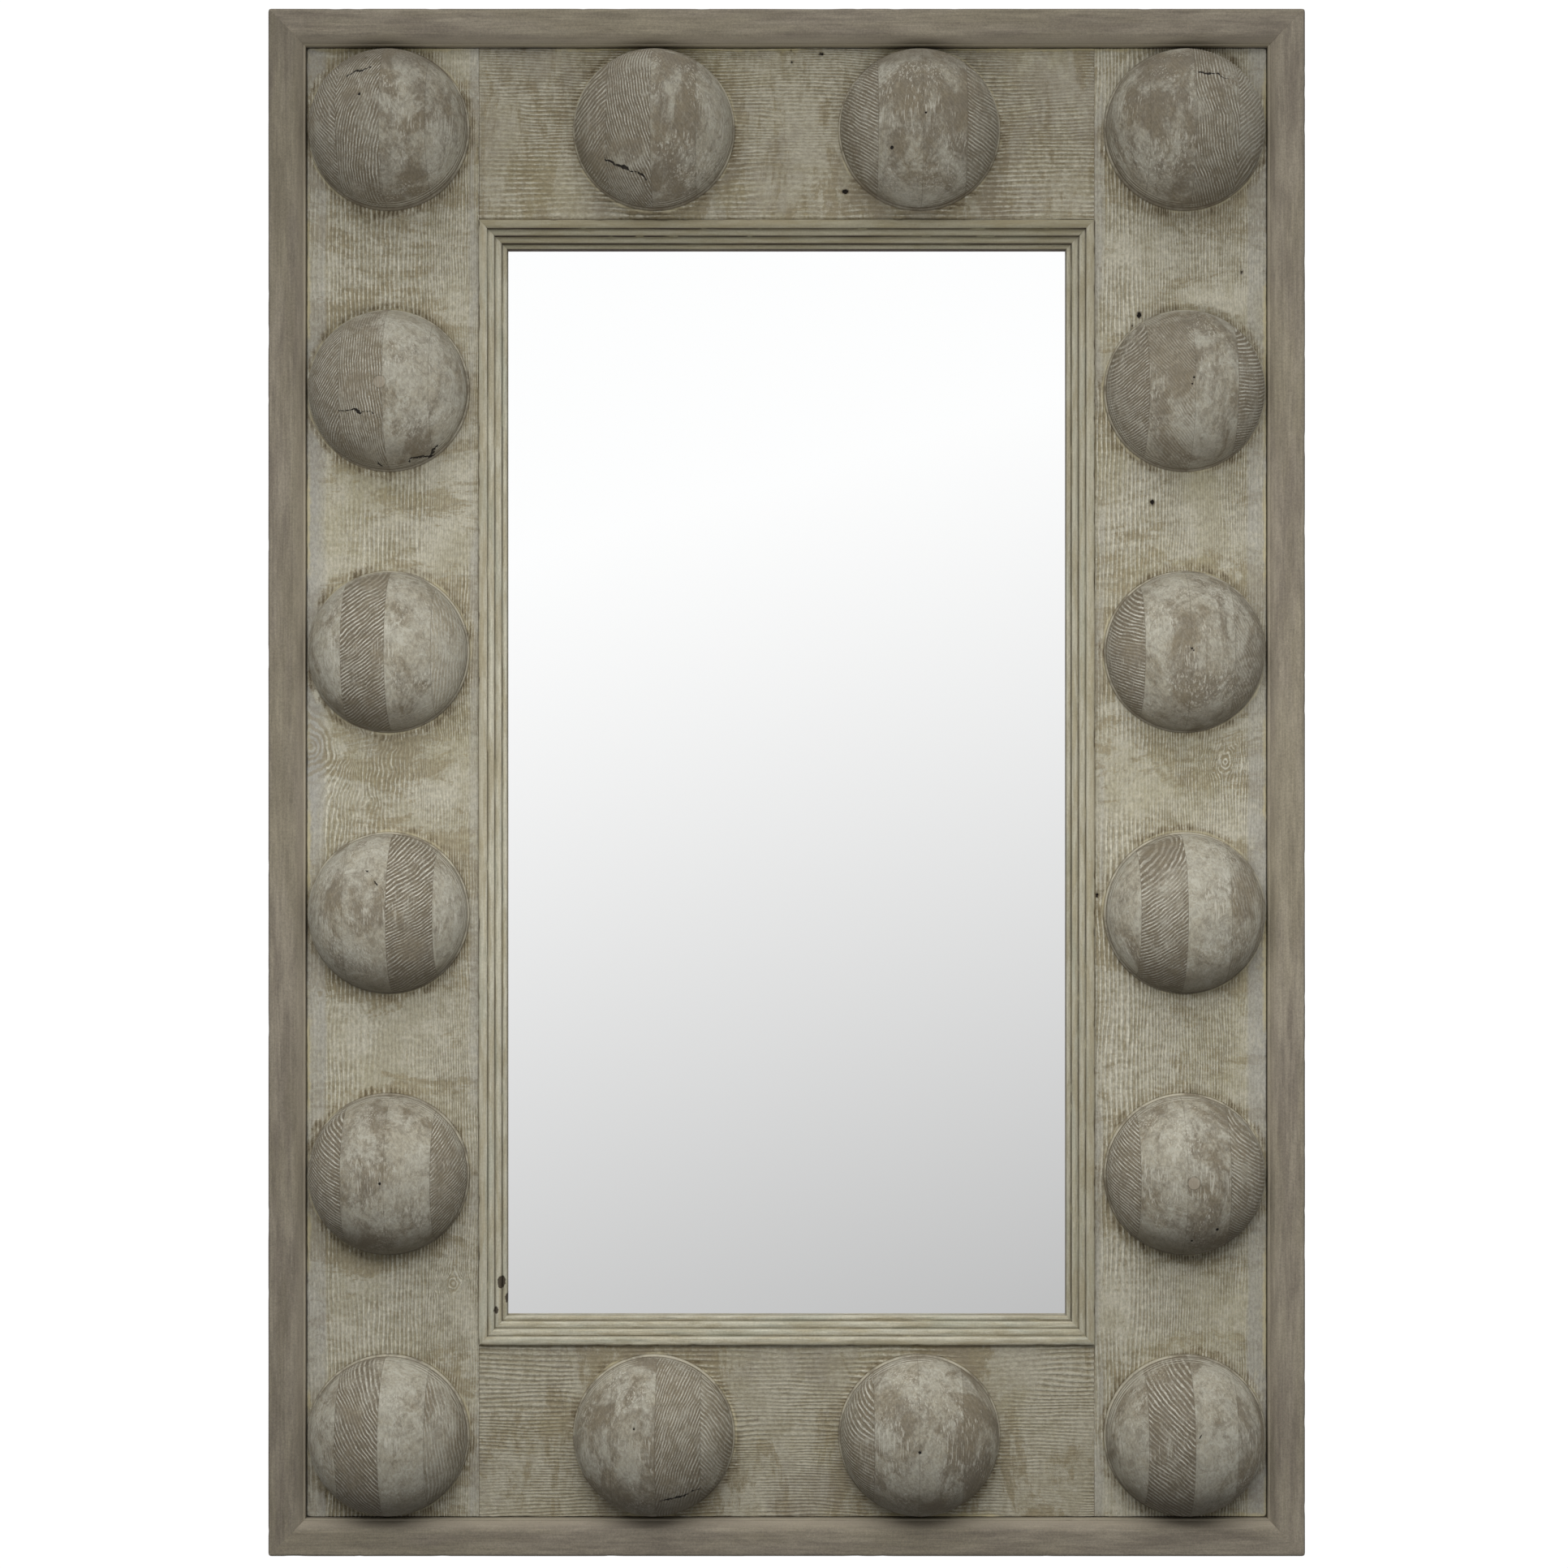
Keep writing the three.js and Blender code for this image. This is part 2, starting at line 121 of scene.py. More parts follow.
RING_HALF_WIDTH = STRAP_WIDTH / 2 + RING_CLEARANCE + WIRE_DIAMETER / 2

# ---- How fine the meshes are ----

DOME_CELLS = 236  # mesh cells across a dome
BOARD_CELL = 1.05  # across the grain
BOARD_STEP = 4.0  # along the grain
SCREW_AROUND = 32
WIRE_AROUND = 28
FAR = 99.0  # a distance that means "nowhere near"


# ---- Smooth noise, the same at every run ----


def lattice(i, j, seed):
    """A number from -1 to 1 for each whole place (i, j)."""
    h = (i * 374761393 + j * 668265263 + seed * 974711) & 0xFFFFFFFF
    h = ((h ^ (h >> 13)) * 1274126177) & 0xFFFFFFFF
    h = ((h ^ (h >> 15)) * 668265263) & 0xFFFFFFFF
    return ((h ^ (h >> 16)) & 0xFFFFFF) / 0x7FFFFF - 1.0


def noise(u, v, size_u, size_v, seed, octaves=1):
    """Smooth noise from about -1 to 1, with blotches of the given sizes."""
    total = np.zeros(np.broadcast(u, v).shape)
    weight, reach = 0.0, 1.0
    for octave in range(octaves):
        a, b = u / size_u * 2**octave, v / size_v * 2**octave
        i, j = np.floor(a).astype(np.int64), np.floor(b).astype(np.int64)
        s, t = a - i, b - j
        s, t = s * s * (3 - 2 * s), t * t * (3 - 2 * t)
        near = lattice(i, j, seed + octave) * (1 - s) + lattice(i + 1, j, seed + octave) * s
        far = lattice(i, j + 1, seed + octave) * (1 - s) + lattice(i + 1, j + 1, seed + octave) * s
        total += (near * (1 - t) + far * t) * reach
        weight += reach
        reach *= 0.5
    return total / weight * 1.4


def fade(value, low, high):
    """0 below low, 1 above high, and smooth between."""
    t = np.clip((value - low) / (high - low), 0, 1)
    return t * t * (3 - 2 * t)


def distance_to_line(u, v, points):
    """Distance to a line through the points, and how far along it the nearest place is (0 to 1)."""
    best = np.full(np.broadcast(u, v).shape, FAR)
    along = np.zeros_like(best)
    pieces = len(points) - 1
    for k in range(pieces):
        (u0, v0), (u1, v1) = points[k], points[k + 1]
        du, dv = u1 - u0, v1 - v0
        t = np.clip(((u - u0) * du + (v - v0) * dv) / (du * du + dv * dv), 0, 1)
        d = np.hypot(u - u0 - t * du, v - v0 - t * dv)
        nearer = d < best
        best = np.where(nearer, d, best)
        along = np.where(nearer, (k + t) / pieces, along)
    return best, along


def distance_to_holes(u, v, holes, squeeze=1.0):
    """Distance to the edge of the nearest hole, below nought inside it. Each hole is (u, v, radius)."""
    nearest = np.full(u.shape, FAR)
    for hole_u, hole_v, radius in holes:
        nearest = np.minimum(nearest, np.hypot((u - hole_u) * squeeze, v - hole_v) - radius)
    return nearest


# ---- Mesh helpers ----


def add_object(name, data):
    """A new object in the scene."""
    made = bpy.data.objects.new(name, data)
    bpy.context.scene.collection.objects.link(made)
    return made


def make_piece(name, places, faces, materials, body="frame"):
    """A mesh object from places in millimetres, riding on a body."""
    mesh = bpy.data.meshes.new(name)
    mesh.from_pydata((np.asarray(places) * MM).tolist(), [], faces)
    mesh.update()
    for material in materials:
        mesh.materials.append(material)
    piece = add_object(name, mesh)
    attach(piece, body)
    return piece


def set_numbers(mesh, **numbers):
    """Stores numbers per vertex by name, for the materials to read."""
    for name, values in numbers.items():
        layer = mesh.attributes.new(name, "FLOAT", "POINT")
        layer.data.foreach_set("value", np.asarray(values, np.float32).ravel())


def set_fours(mesh, **fours):
    """Stores four numbers per vertex by name, one for each stave of a dome."""
    for name, values in fours.items():
        layer = mesh.attributes.new(name, "FLOAT_COLOR", "POINT")
        layer.data.foreach_set("color", np.asarray(values, np.float32).ravel())


def smooth_by_angle(mesh, degrees):
    """Smooth shading that stays sharp where faces meet at more than the angle."""
    mesh.polygons.foreach_set("use_smooth", [True] * len(mesh.polygons))
    mesh.set_sharp_from_angle(angle=math.radians(degrees))


def fix_outward(piece):
    """Turns a closed mesh's faces outward."""
    work = bmesh.new()
    work.from_mesh(piece.data)
    bmesh.ops.recalc_face_normals(work, faces=work.faces)
    work.to_mesh(piece.data)
    work.free()


def grid_faces(rows, columns, closed=False):
    """Quads between neighbouring rows and columns of a grid of vertices."""
    i, j = np.meshgrid(np.arange(rows - 1), np.arange(columns if closed else columns - 1), indexing="ij")
    nxt = (j + 1) % columns
    quads = np.stack([i * columns + j, i * columns + nxt, (i + 1) * columns + nxt, (i + 1) * columns + j], -1)
    return quads.reshape(-1, 4).tolist()


def grid_rim(rows, columns):
    """The vertices round the edge of a grid, in order."""
    index = np.arange(rows * columns).reshape(rows, columns)
    return np.concatenate([index[0, :-1], index[:-1, -1], index[-1, :0:-1], index[:0:-1, 0]]).tolist()


def end_caps(rows, columns):
    """The two faces that close the ends of a tube of rings."""
    first = list(range(columns))
    last = [(rows - 1) * columns + k for k in range(columns)]
    return first, last


# ---- Material helpers ----


def operation(name):
    """A method that adds a math node of this kind."""
    return lambda value, other=0.0: value.graph.math(name, value, other)


class Value:
    """A number that a node tree works out at each point. Arithmetic on it adds math nodes."""

    __add__ = operation("ADD")
    __sub__ = operation("SUBTRACT")
    __mul__ = operation("MULTIPLY")
    sine = operation("SINE")
    size = operation("ABSOLUTE")
    power = operation("POWER")
    above = operation("GREATER_THAN")
    larger = operation("MAXIMUM")
    smaller = operation("MINIMUM")

    def __init__(self, graph, socket):
        self.graph = graph
        self.socket = socket

    def __rsub__(self, other):
        return self.graph.math("SUBTRACT", other, self)

    def centred(self, size):
        """Noise moved to lie round nought, and scaled."""
        return (self - 0.5) * size

    def fade(self, low, high, to_low=0.0, to_high=1.0):
        """Smooth step of the value between low and high."""
        node = self.graph.node("ShaderNodeMapRange")
        node.interpolation_type = "SMOOTHSTEP"
        for socket, number in enumerate((self, low, high, to_low, to_high)):
            self.graph.put(node, socket, number)
        return Value(self.graph, node.outputs["Result"])


class Graph:
    """A node tree that is built by functions."""

    def __init__(self, tree):
        self.tree = tree
        self.node = tree.nodes.new

    def put(self, node, socket, value):
        """Links a value or an output to the socket, or sets it as a plain number or colour."""
        target = node.inputs[socket]
        if isinstance(value, Value):
            value = value.socket
        if isinstance(value, bpy.types.NodeSocket):
            self.tree.links.new(value, target)
        elif target.type == "RGBA" and len(value) == 3:
            target.default_value = (*value, 1.0)
        elif target.type == "VECTOR":
            target.default_value = value[:3]
        else:
            target.default_value = value

    def math(self, operation, a, b=0.0):
        node = self.node("ShaderNodeMath")
        node.operation = operation
        self.put(node, 0, a)
        self.put(node, 1, b)
        return Value(self, node.outputs[0])

    def split(self, vector):
        """The three parts of a vector."""
        node = self.node("ShaderNodeSeparateXYZ")
        self.put(node, 0, vector)
        return [Value(self, part) for part in node.outputs]


class Finish(Graph):
    """A procedural material. Its colour is built up coat by coat, then given to the shader."""

    def __init__(self, name, roughness=0.75, metallic=0.0, specular=0.35):
        self.material = bpy.data.materials.new(name)
        self.material.use_nodes = True
        super().__init__(self.material.node_tree)
        self.shader = self.tree.nodes["Principled BSDF"]
        plain = {"Roughness": roughness, "Metallic": metallic, "Specular IOR Level": specular}
        for socket, number in plain.items():
            self.put(self.shader, socket, number)
        self.where = self.node("ShaderNodeTexCoord").outputs["Object"]
        self.colour = None

    def number(self, name):
        """A number stored on the mesh."""
        node = self.node("ShaderNodeAttribute")
        node.attribute_name = name
        return Value(self, node.outputs["Fac"])

    def four(self, name):
        """Four numbers stored on the mesh."""
        node = self.node("ShaderNodeAttribute")
        node.attribute_name = name
        return [*self.split(node.outputs["Vector"]), Value(self, node.outputs["Alpha"])]

    def stretched(self, x, y, z, turn=0.0):
        """The point with its coordinates scaled and turned about Y, to stretch a pattern one way."""
        node = self.node("ShaderNodeMapping")
        node.inputs["Rotation"].default_value = (0, math.radians(turn), 0)
        node.inputs["Scale"].default_value = (x, y, z)
        self.put(node, "Vector", self.where)
        return node.outputs[0]

    def along(self, along_z, scale):
        """The point with the pattern stretched along the grain, up the frame or across it."""
        return self.stretched(1.0, 1.0, scale) if along_z else self.stretched(scale, 1.0, 1.0)

    def cloud(self, scale, detail=3.0, rough=0.55, where=None, twist=0.0):
        """Noise from 0 to 1 around 0.5. Scale is in blotches per metre."""
        node = self.node("ShaderNodeTexNoise")
        self.put(node, "Vector", self.where if where is None else where)
        plain = {"Scale": scale, "Detail": detail, "Roughness": rough, "Distortion": twist}
        for socket, number in plain.items():
            self.put(node, socket, number)
        return Value(self, node.outputs["Fac"])

    def choose(self, share, first, second):
        """A number: first where share is 0, second where it is 1."""
        node = self.node("ShaderNodeMix")
        for socket, value in ((0, share), (2, first), (3, second)):
            self.put(node, socket, value)
        return Value(self, node.outputs[0])

    def blend(self, share, first, second):
        """A colour: first where share is 0, second where it is 1."""
        node = self.node("ShaderNodeMix")
        node.data_type = "RGBA"
        for socket, value in ((0, share), (6, first), (7, second)):
            self.put(node, socket, value)
        return node.outputs[2]

    def paint(self, share, colour):
        """A coat of another colour, as thick as share says."""
        self.colour = self.blend(share, self.colour, colour)

    def shade(self, amount):
        """Makes the colour lighter or darker by a factor."""
        node = self.node("ShaderNodeVectorMath")
        node.operation = "SCALE"
        self.put(node, 0, self.colour)
        self.put(node, "Scale", amount)
        self.colour = node.outputs[0]

    def finish(self, height=None, depth=1.0, rough=None):
        """The colour, the relief in millimetres and the roughness onto the shader."""
        self.put(self.shader, "Base Color", self.colour)
        if rough is not None:
            self.put(self.shader, "Roughness", rough)
        if height is not None:
            bump = self.node("ShaderNodeBump")
            bump.inputs["Distance"].default_value = depth * MM
            self.put(bump, "Height", height)
            self.put(self.shader, "Normal", bump.outputs["Normal"])
        return self.material


def linear(red, green, blue):
    """A colour as seen on a screen (0 to 255) in the renderer's own numbers."""
    parts = [c / 255 for c in (red, green, blue)]
    return [c / 12.92 if c <= 0.04045 else ((c + 0.055) / 1.055) ** 2.4 for c in parts] + [1.0]


# ---- Colours of the wood and its finish, and of painted light and shade, as seen on a screen ----

BLACK_GAP_AND_SHADOW = linear(22, 17, 14)
DOME_SMOKE_AND_SHADE = linear(86, 77, 62)
DOME_DARK = linear(105, 96, 81)
DOME_BARE = linear(119, 111, 96)
DOME_OCHRE = linear(140, 127, 98)
DOME_PALE_GROUND = linear(146, 136, 113)
DOME_PLUG = linear(160, 150, 133)
DOME_DULL_CREST = linear(154, 147, 129)
DOME_WASH = linear(165, 161, 147)
DOME_BRIGHT = linear(184, 181, 167)
DOME_FOOT_RING = linear(190, 184, 164)
DOME_CREST = linear(198, 194, 180)
BOARD_STAIN = linear(84, 68, 48)
BOARD_HALO = linear(98, 86, 66)
BOARD_VIOLET = linear(136, 128, 118)
BOARD_BROWN = linear(140, 129, 103)
BOARD_RAGGED = linear(142, 131, 106)
BOARD_SMEAR = linear(148, 137, 110)
BOARD_TAN = linear(160, 144, 108)
BOARD_PLANED = linear(163, 161, 155)
BOARD_YELLOW = linear(166, 158, 124)
BOARD_GREY = linear(172, 166, 145)
BOARD_CREAM = linear(188, 183, 165)
BOARD_PUTTY = linear(200, 191, 160)
BOARD_FILLER = linear(202, 190, 148)
BOARD_CREST = linear(210, 206, 188)
MOULDING_EDGE_SHADE = linear(56, 49, 43)
MOULDING_PORE = linear(86, 77, 64)
MOULDING_FOOT_SHADE = linear(98, 91, 64)
MOULDING_DARK = linear(117, 109, 97)
MOULDING_OLIVE = linear(128, 121, 100)
MOULDING_TAUPE = linear(140, 132, 117)
MOULDING_SLOPED = linear(156, 147, 131)
MOULDING_LIP_HIGHLIGHT = linear(178, 169, 148)
REED_CHIP = linear(52, 41, 30)
REED_SHADOW = linear(76, 64, 58)
REED_SHADED = linear(120, 112, 84)
REED_OUTER = linear(146, 134, 106)
REED_COOL = linear(160, 166, 152)
REED_OLIVE = linear(163, 154, 128)
REED_CREAM = linear(190, 186, 167)
SAWN_PORE = linear(86, 66, 44)
SAWN_DARK = linear(134, 108, 78)
SAWN_LIGHT = linear(172, 145, 110)
BEECH_DARK = linear(186, 152, 112)
BEECH_LIGHT = linear(206, 176, 136)
PANEL_DARK = linear(116, 88, 60)
PANEL_LIGHT = linear(143, 113, 80)
PANEL_SCUFF = linear(176, 150, 118)
ZINC_DARK = linear(176, 181, 184)
ZINC_LIGHT = linear(206, 209, 210)


# ---- Materials ----


def ring_wave(phase, wobble):
    """The rings as a wave: 1 on the middle of a ridge and -1 in a valley."""
    return (phase * (2 * math.pi) + wobble).sine()


def dome_staves(look):
    """The stave's own ring number, ridge depth and whiteness, and nearness to a glue line."""
    side = look.number("side")
    edges = [side.above(edge) for edge in STAVE_EDGES]
    chosen = []
    for name in ("rings", "ridged", "tones"):
        own, *others = look.four(name)
        for edge, value in zip(edges, others):
            own = look.choose(edge, own, value)
        chosen.append(own)
    seam = 0.0
    for edge in STAVE_EDGES:
        seam = (side - edge).size().fade(0.1, 0.7, 1.0, 0.0).larger(seam)
    return (*chosen, seam)


def smooth_staves(look, patch, tone, fine):
    """Lime wash in ragged patches, with dabs and with scratches across the stave."""
    look.colour = look.blend(patch, DOME_BARE, DOME_WASH)
    look.paint(look.cloud(26, 9, 0.7).fade(0.4, 0.62) * 0.25, DOME_OCHRE)
    look.shade(fine.fade(0.34, 0.66, 0.8, 1.2))
    dabs = look.cloud(62, 10, 0.78, twist=0.9)
    look.paint(dabs.fade(0.47, 0.41) * 0.5, DOME_BARE)
    bright = look.choose(patch, 0.15, 0.7) * tone.fade(0.2, 0.8, 0.4, 1.0)
    look.paint(dabs.fade(0.54, 0.6) * bright, DOME_BRIGHT)
    scratch = look.cloud(480, 3, 0.6, where=look.stretched(1.0, 1.0, 0.09, turn=45)).fade(0.54, 0.62)
    look.paint(scratch * look.cloud(24, 4).fade(0.48, 0.56) * 0.6, DOME_CREST)
    return look.colour


def ridged_staves(look, lines, patch, tone, fine):
    """Brushed rings: thin pale ridges on brown."""
    look.colour = look.blend(tone.fade(0.0, 1.0), DOME_DARK, DOME_PALE_GROUND)
    look.shade(fine.fade(0.34, 0.66, 0.82, 1.18))
    look.paint(patch * 0.22, DOME_WASH)
    look.paint(lines, look.blend(look.cloud(80, 8, 0.74).fade(0.4, 0.53), DOME_DULL_CREST, DOME_CREST))
    return look.colour


def dome_rim(look, seam):
    """Lathe lines with painted highlight and painted shade, a darker lower third that is partly brown stain
    and partly painted shade, a painted shadow line at the shoulder, and the foot. Returns the lines' relief.
    """
    rim = look.number("rim")
    low = look.number("low")
    arcs = (rim * 1.12 + look.cloud(10, 3).centred(5.0)).sine()
    zone = rim.fade(6.0, 9.0) * rim.fade(20.0, 30.0, 1.0, 0.0)
    zone = zone * look.cloud(13, 5, 0.7).fade(0.42, 0.54)
    # Painted highlight on the lathe lines' crests and painted shade in their grooves.
    look.paint(arcs.fade(0.3, 0.9) * zone * 0.75, DOME_CREST)
    look.paint(arcs.fade(-0.4, -0.95) * zone * 0.5, DOME_SMOKE_AND_SHADE)
    # Darker toward the rim.
    rim_darkening = (rim + look.cloud(60, 8, 0.75).centred(20)).fade(4.0, 15.0, 1.0, 0.0)
    look.paint(rim_darkening * 0.45, DOME_DARK)
    # The darker lower part is partly brown stain and partly painted shade; the band by some top rims is
    # painted shade.
    smoke_and_shade = (low + look.cloud(22, 8, 0.7).centred(0.9)).fade(0.2, 0.95)
    look.paint(smoke_and_shade * 0.55, DOME_SMOKE_AND_SHADE)
    look.paint(seam * 0.35, DOME_SMOKE_AND_SHADE)
    # A thin ring of painted shadow at the shoulder, just above the foot.
    look.paint(rim.fade(5.6, 6.2) * rim.fade(6.8, 7.6, 1.0, 0.0) * 0.6, DOME_SMOKE_AND_SHADE)
    # The cream foot ring is partly wash and putty and partly a painted highlight: it fades out on the lower
    # side, where low is high.
    foot = rim.fade(6.4, 5.6) * look.cloud(24, 6, 0.7).fade(0.42, 0.56, 0.1, 1.0)
    look.paint(foot * low.fade(0.05, 0.5, 0.75, 0.15), DOME_FOOT_RING)
    return arcs * zone


def dome_finish():
    """Turned wood glued from four staves: lime wash rubbed into brushed rings and patches."""
    look = Finish("dome_limed_wood", roughness=0.72, specular=0.3)
    phase, strength, tone, seam = dome_staves(look)
    upright = look.stretched(1.0, 1.0, 0.55)
    lines = ring_wave(phase, look.cloud(420, 3).centred(2.0)).fade(-0.1, 0.8)
    shown = strength * look.choose(look.cloud(110, 8, 0.78).fade(0.41, 0.53), 0.4, 1.0)
    fine = look.cloud(330, 7, 0.76, where=upright)
    wash = look.cloud(21, 13, 0.74, where=upright, twist=0.5) + tone.centred(0.2)
    patch = (wash + look.cloud(240, 8, 0.8).centred(0.22)).fade(0.43, 0.57)

    smooth = smooth_staves(look, patch, tone, fine)
    ridged = ridged_staves(look, lines, patch, tone, fine)
    look.colour = look.blend(shown, smooth, ridged)
    turned = dome_rim(look, seam)

    # plugs, cracks and small holes
    plug = look.number("plug")
    look.paint(plug.fade(6.4, 7.0) * plug.fade(7.4, 9.0, 1.0, 0.0) * 0.35, DOME_SMOKE_AND_SHADE)
    look.paint(plug.fade(6.6, 7.0, 0.7, 0.0), DOME_PLUG)
    crack = look.number("crack") - look.cloud(260, 2).fade(0.35, 0.65, 0.0, 0.95)
    dark = crack.fade(0.2, 0.8, 1.0, 0.0).larger(look.number("hole").fade(-0.2, 0.3, 1.0, 0.0))
    look.paint(dark * 0.95, BLACK_GAP_AND_SHADOW)

    relief = lines * shown * 0.8 + fine * 0.45 + patch * 0.15 + turned * 0.12 - dark * 1.4 - seam * 0.15
    return look.finish(relief, 0.7, patch.fade(0.0, 1.0, 0.66, 0.82))


def board_halo(look, wave, flakes):
    """Ragged brown with sharp ridge ends round each dome, and putty at its foot."""
    rim = look.number("rim")
    ragged = (rim + look.cloud(48, 9, 0.78).centred(40)).fade(4.0, 11.0, 1.0, 0.0)
    halo = ragged * look.cloud(13, 4).fade(0.42, 0.55, 0.15, 1.0)
    ticks = wave * 0.07 + look.cloud(130, 8, 0.8, where=flakes)
    look.paint(halo * 0.6, BOARD_RAGGED)
    look.paint(halo * (ticks.fade(0.48, 0.38) * 0.85), BOARD_HALO)
    look.paint(halo * (ticks.fade(0.54, 0.62) * 0.85), BOARD_CREST)
    putty = (rim + look.cloud(40, 5).centred(8)).fade(0.8, 3.2, 1.0, 0.0)
    look.paint(putty * look.cloud(12, 5, 0.66).fade(0.48, 0.58) * 0.7, BOARD_PUTTY)
    look.paint(rim.fade(0.0, 1.4, 0.5, 0.0), BOARD_HALO)


def board_borders(look, rub):
    """The joint, filler along the outer moulding's lip, and painted shadow lines beside the mouldings, where
    they stand proud of the board.
    """
    lip = look.number("lip")
    joint = look.number("joint").fade(0.1, 0.8, 1.0, 0.0) * rub.fade(0.42, 0.56)
    look.paint(joint * 0.2, BOARD_HALO)
    filler = (lip + look.cloud(60, 8, 0.76).centred(14)).fade(2.0, 6.0, 1.0, 0.0)
    look.paint(filler * look.cloud(7, 4).fade(0.46, 0.56) * 0.6, BOARD_FILLER)
    # Painted shadow: a near-black line on the board under the outer moulding's overhanging lip.
    look.paint((lip + look.cloud(70, 5).centred(1.6)).fade(0.6, 1.7, 0.9, 0.0), BLACK_GAP_AND_SHADOW)
    # Painted shadow on the board beside the reeded moulding, which stands proud of it.
    inner = look.number("inner") + look.cloud(45, 6, 0.7).centred(3.0)
    look.paint(inner.fade(0.2, 1.8, 0.6, 0.0), BOARD_HALO)


def board_finish(name, along_z):
    """Brushed softwood under lime wash: pale ridges on tan, in patches, with brown round the domes."""
    look = Finish(name, roughness=0.8, specular=0.25)

    def scaled(along, across):
        return look.stretched(across, 1.0, along) if along_z else look.stretched(along, 1.0, across)

    streaks, flakes, brushed = scaled(0.18, 1.0), scaled(0.55, 1.0), scaled(1.15, 0.4)
    strength = look.number("ridged")
    wave = ring_wave(look.number("rings"), look.cloud(280, 5, 0.7, where=streaks).centred(4.2))
    chopped = look.cloud(150, 8, 0.8, where=flakes)
    bands = look.cloud(84, 7, 0.76, where=scaled(1.5, 0.35))
    broken = (chopped * 0.5 + bands * 0.5).fade(0.44, 0.55)
    rub = look.cloud(70, 9, 0.78, where=flakes)
    crests = wave.fade(0.1, 0.9) * strength * look.choose(broken, 0.15, 1.0)
    valleys = wave.fade(0.0, -0.9) * strength * look.choose(broken, 1.0, 0.3)

    # washed wood, cooler and warmer in places, with smears brushed across the grain
    wash = look.cloud(20, 12, 0.76, where=flakes, twist=0.6) + bands.centred(0.25)
    look.colour = look.blend(wash.fade(0.42, 0.58), BOARD_GREY, BOARD_CREAM)
    smear = look.cloud(13, 12, 0.78, where=brushed, twist=0.5) + rub.centred(0.25)
    near = (look.number("rim") + look.cloud(20, 6, 0.7).centred(90)).fade(5.0, 45.0, 0.045, 0.0)
    smear = (smear + near).fade(0.52, 0.575)
    look.paint(smear * 0.78, BOARD_SMEAR)
    look.paint(look.cloud(7, 7, 0.68).fade(0.5, 0.64) * 0.35, BOARD_YELLOW)
    look.paint(valleys * (0.75 if along_z else 0.95), BOARD_BROWN)
    look.paint(crests * (0.8 if along_z else 1.0), BOARD_CREST)
    look.paint(look.number("band") * rub.fade(0.34, 0.5, 0.4, 1.0) * 0.7, BOARD_PLANED)
    fine = look.cloud(300, 7, 0.78, where=flakes)
    look.shade(fine.fade(0.34, 0.66, 0.8, 1.18))
    if not along_z:
        look.paint(look.cloud(8, 8, 0.72).fade(0.48, 0.6) * 0.35, BOARD_VIOLET)
        look.paint(0.12, BOARD_TAN)
        look.shade(0.86)
    flecks = look.cloud(330, 4, 0.7, where=streaks).fade(0.6, 0.68) * strength
    look.paint(flecks * 0.45, BOARD_BROWN)
    board_halo(look, wave, flakes)

    # knots and holes
    core = look.number("knot").fade(0.0, 1.0)
    look.paint(core * (wave.fade(0.3, -0.5) * 0.5), BOARD_BROWN)
    hole = look.number("hole") + look.cloud(400, 3).centred(2.2)
    look.paint(hole.fade(0.0, 2.2, 0.45, 0.0), BOARD_STAIN)
    look.paint(hole.fade(-0.4, 0.3, 0.97, 0.0), BLACK_GAP_AND_SHADOW)
    board_borders(look, rub)

    relief = wave.fade(-0.5, 0.8) * strength * 0.8 + fine * 0.7 + chopped * 0.35 - smear * 0.12
    return look.finish(relief - hole.fade(-0.4, 0.3, 1.5, 0.0), 0.8)


def moulding_finish(name, along_z):
    """Taupe glaze over planed wood: faint grain along the length, with painted light by side and on the
    slope, painted shade at the slope's foot and the outer edge, and a painted highlight on the lip's edge.
    """
    look = Finish(name, roughness=0.62, specular=0.3)
    streaks, lengths = look.along(along_z, 0.05), look.along(along_z, 0.16)
    grain = look.cloud(330, 7, 0.74, where=streaks)
    mist = look.cloud(420, 5, 0.8)
    broad = look.cloud(70, 6, 0.66, where=lengths)
    look.colour = look.blend(broad.fade(0.34, 0.66), MOULDING_DARK, MOULDING_TAUPE)
    look.paint(look.cloud(18, 6, 0.66, where=lengths).fade(0.42, 0.62) * 0.4, MOULDING_OLIVE)
    look.shade(grain.fade(0.34, 0.66, 0.87, 1.15))
    look.shade(mist.fade(0.34, 0.66, 0.86, 1.15))
    # Painted light: each side of the frame gets its own lightness, by its tone number.
    look.shade(look.number("tone") * 0.2 + 1.02)
    # Painted light on the slope, by side.
    look.paint(look.number("slope") * 0.45, MOULDING_SLOPED)
    # Painted shade at the foot of the slope, mostly on the top length, whose slope faces down.
    hollow = look.number("hollow") * look.cloud(26, 4, 0.6, where=streaks).fade(0.25, 0.7, 0.6, 1.0)
    look.paint(hollow * 0.55, MOULDING_FOOT_SHADE)
    # Painted highlight along the lip's edge, faint on the top length, where the edge faces down.
    pale = look.number("pale") * look.cloud(60, 5, 0.66, where=lengths).fade(0.36, 0.6, 0.25, 1.0)
    look.paint(pale * 0.65, MOULDING_LIP_HIGHLIGHT)
    # Painted shade on the rounded outer edge, weaker on the top length, where it faces up.
    look.paint(look.number("outside") * 0.85, MOULDING_EDGE_SHADE)
    pores = look.cloud(1400, 3, 0.6, where=streaks).fade(0.62, 0.74)
    look.paint(pores * 0.35, MOULDING_PORE)
    return look.finish(grain * 0.3 + mist * 0.12 - pores * 0.15, 0.5, grain.fade(0.2, 0.8, 0.54, 0.72))


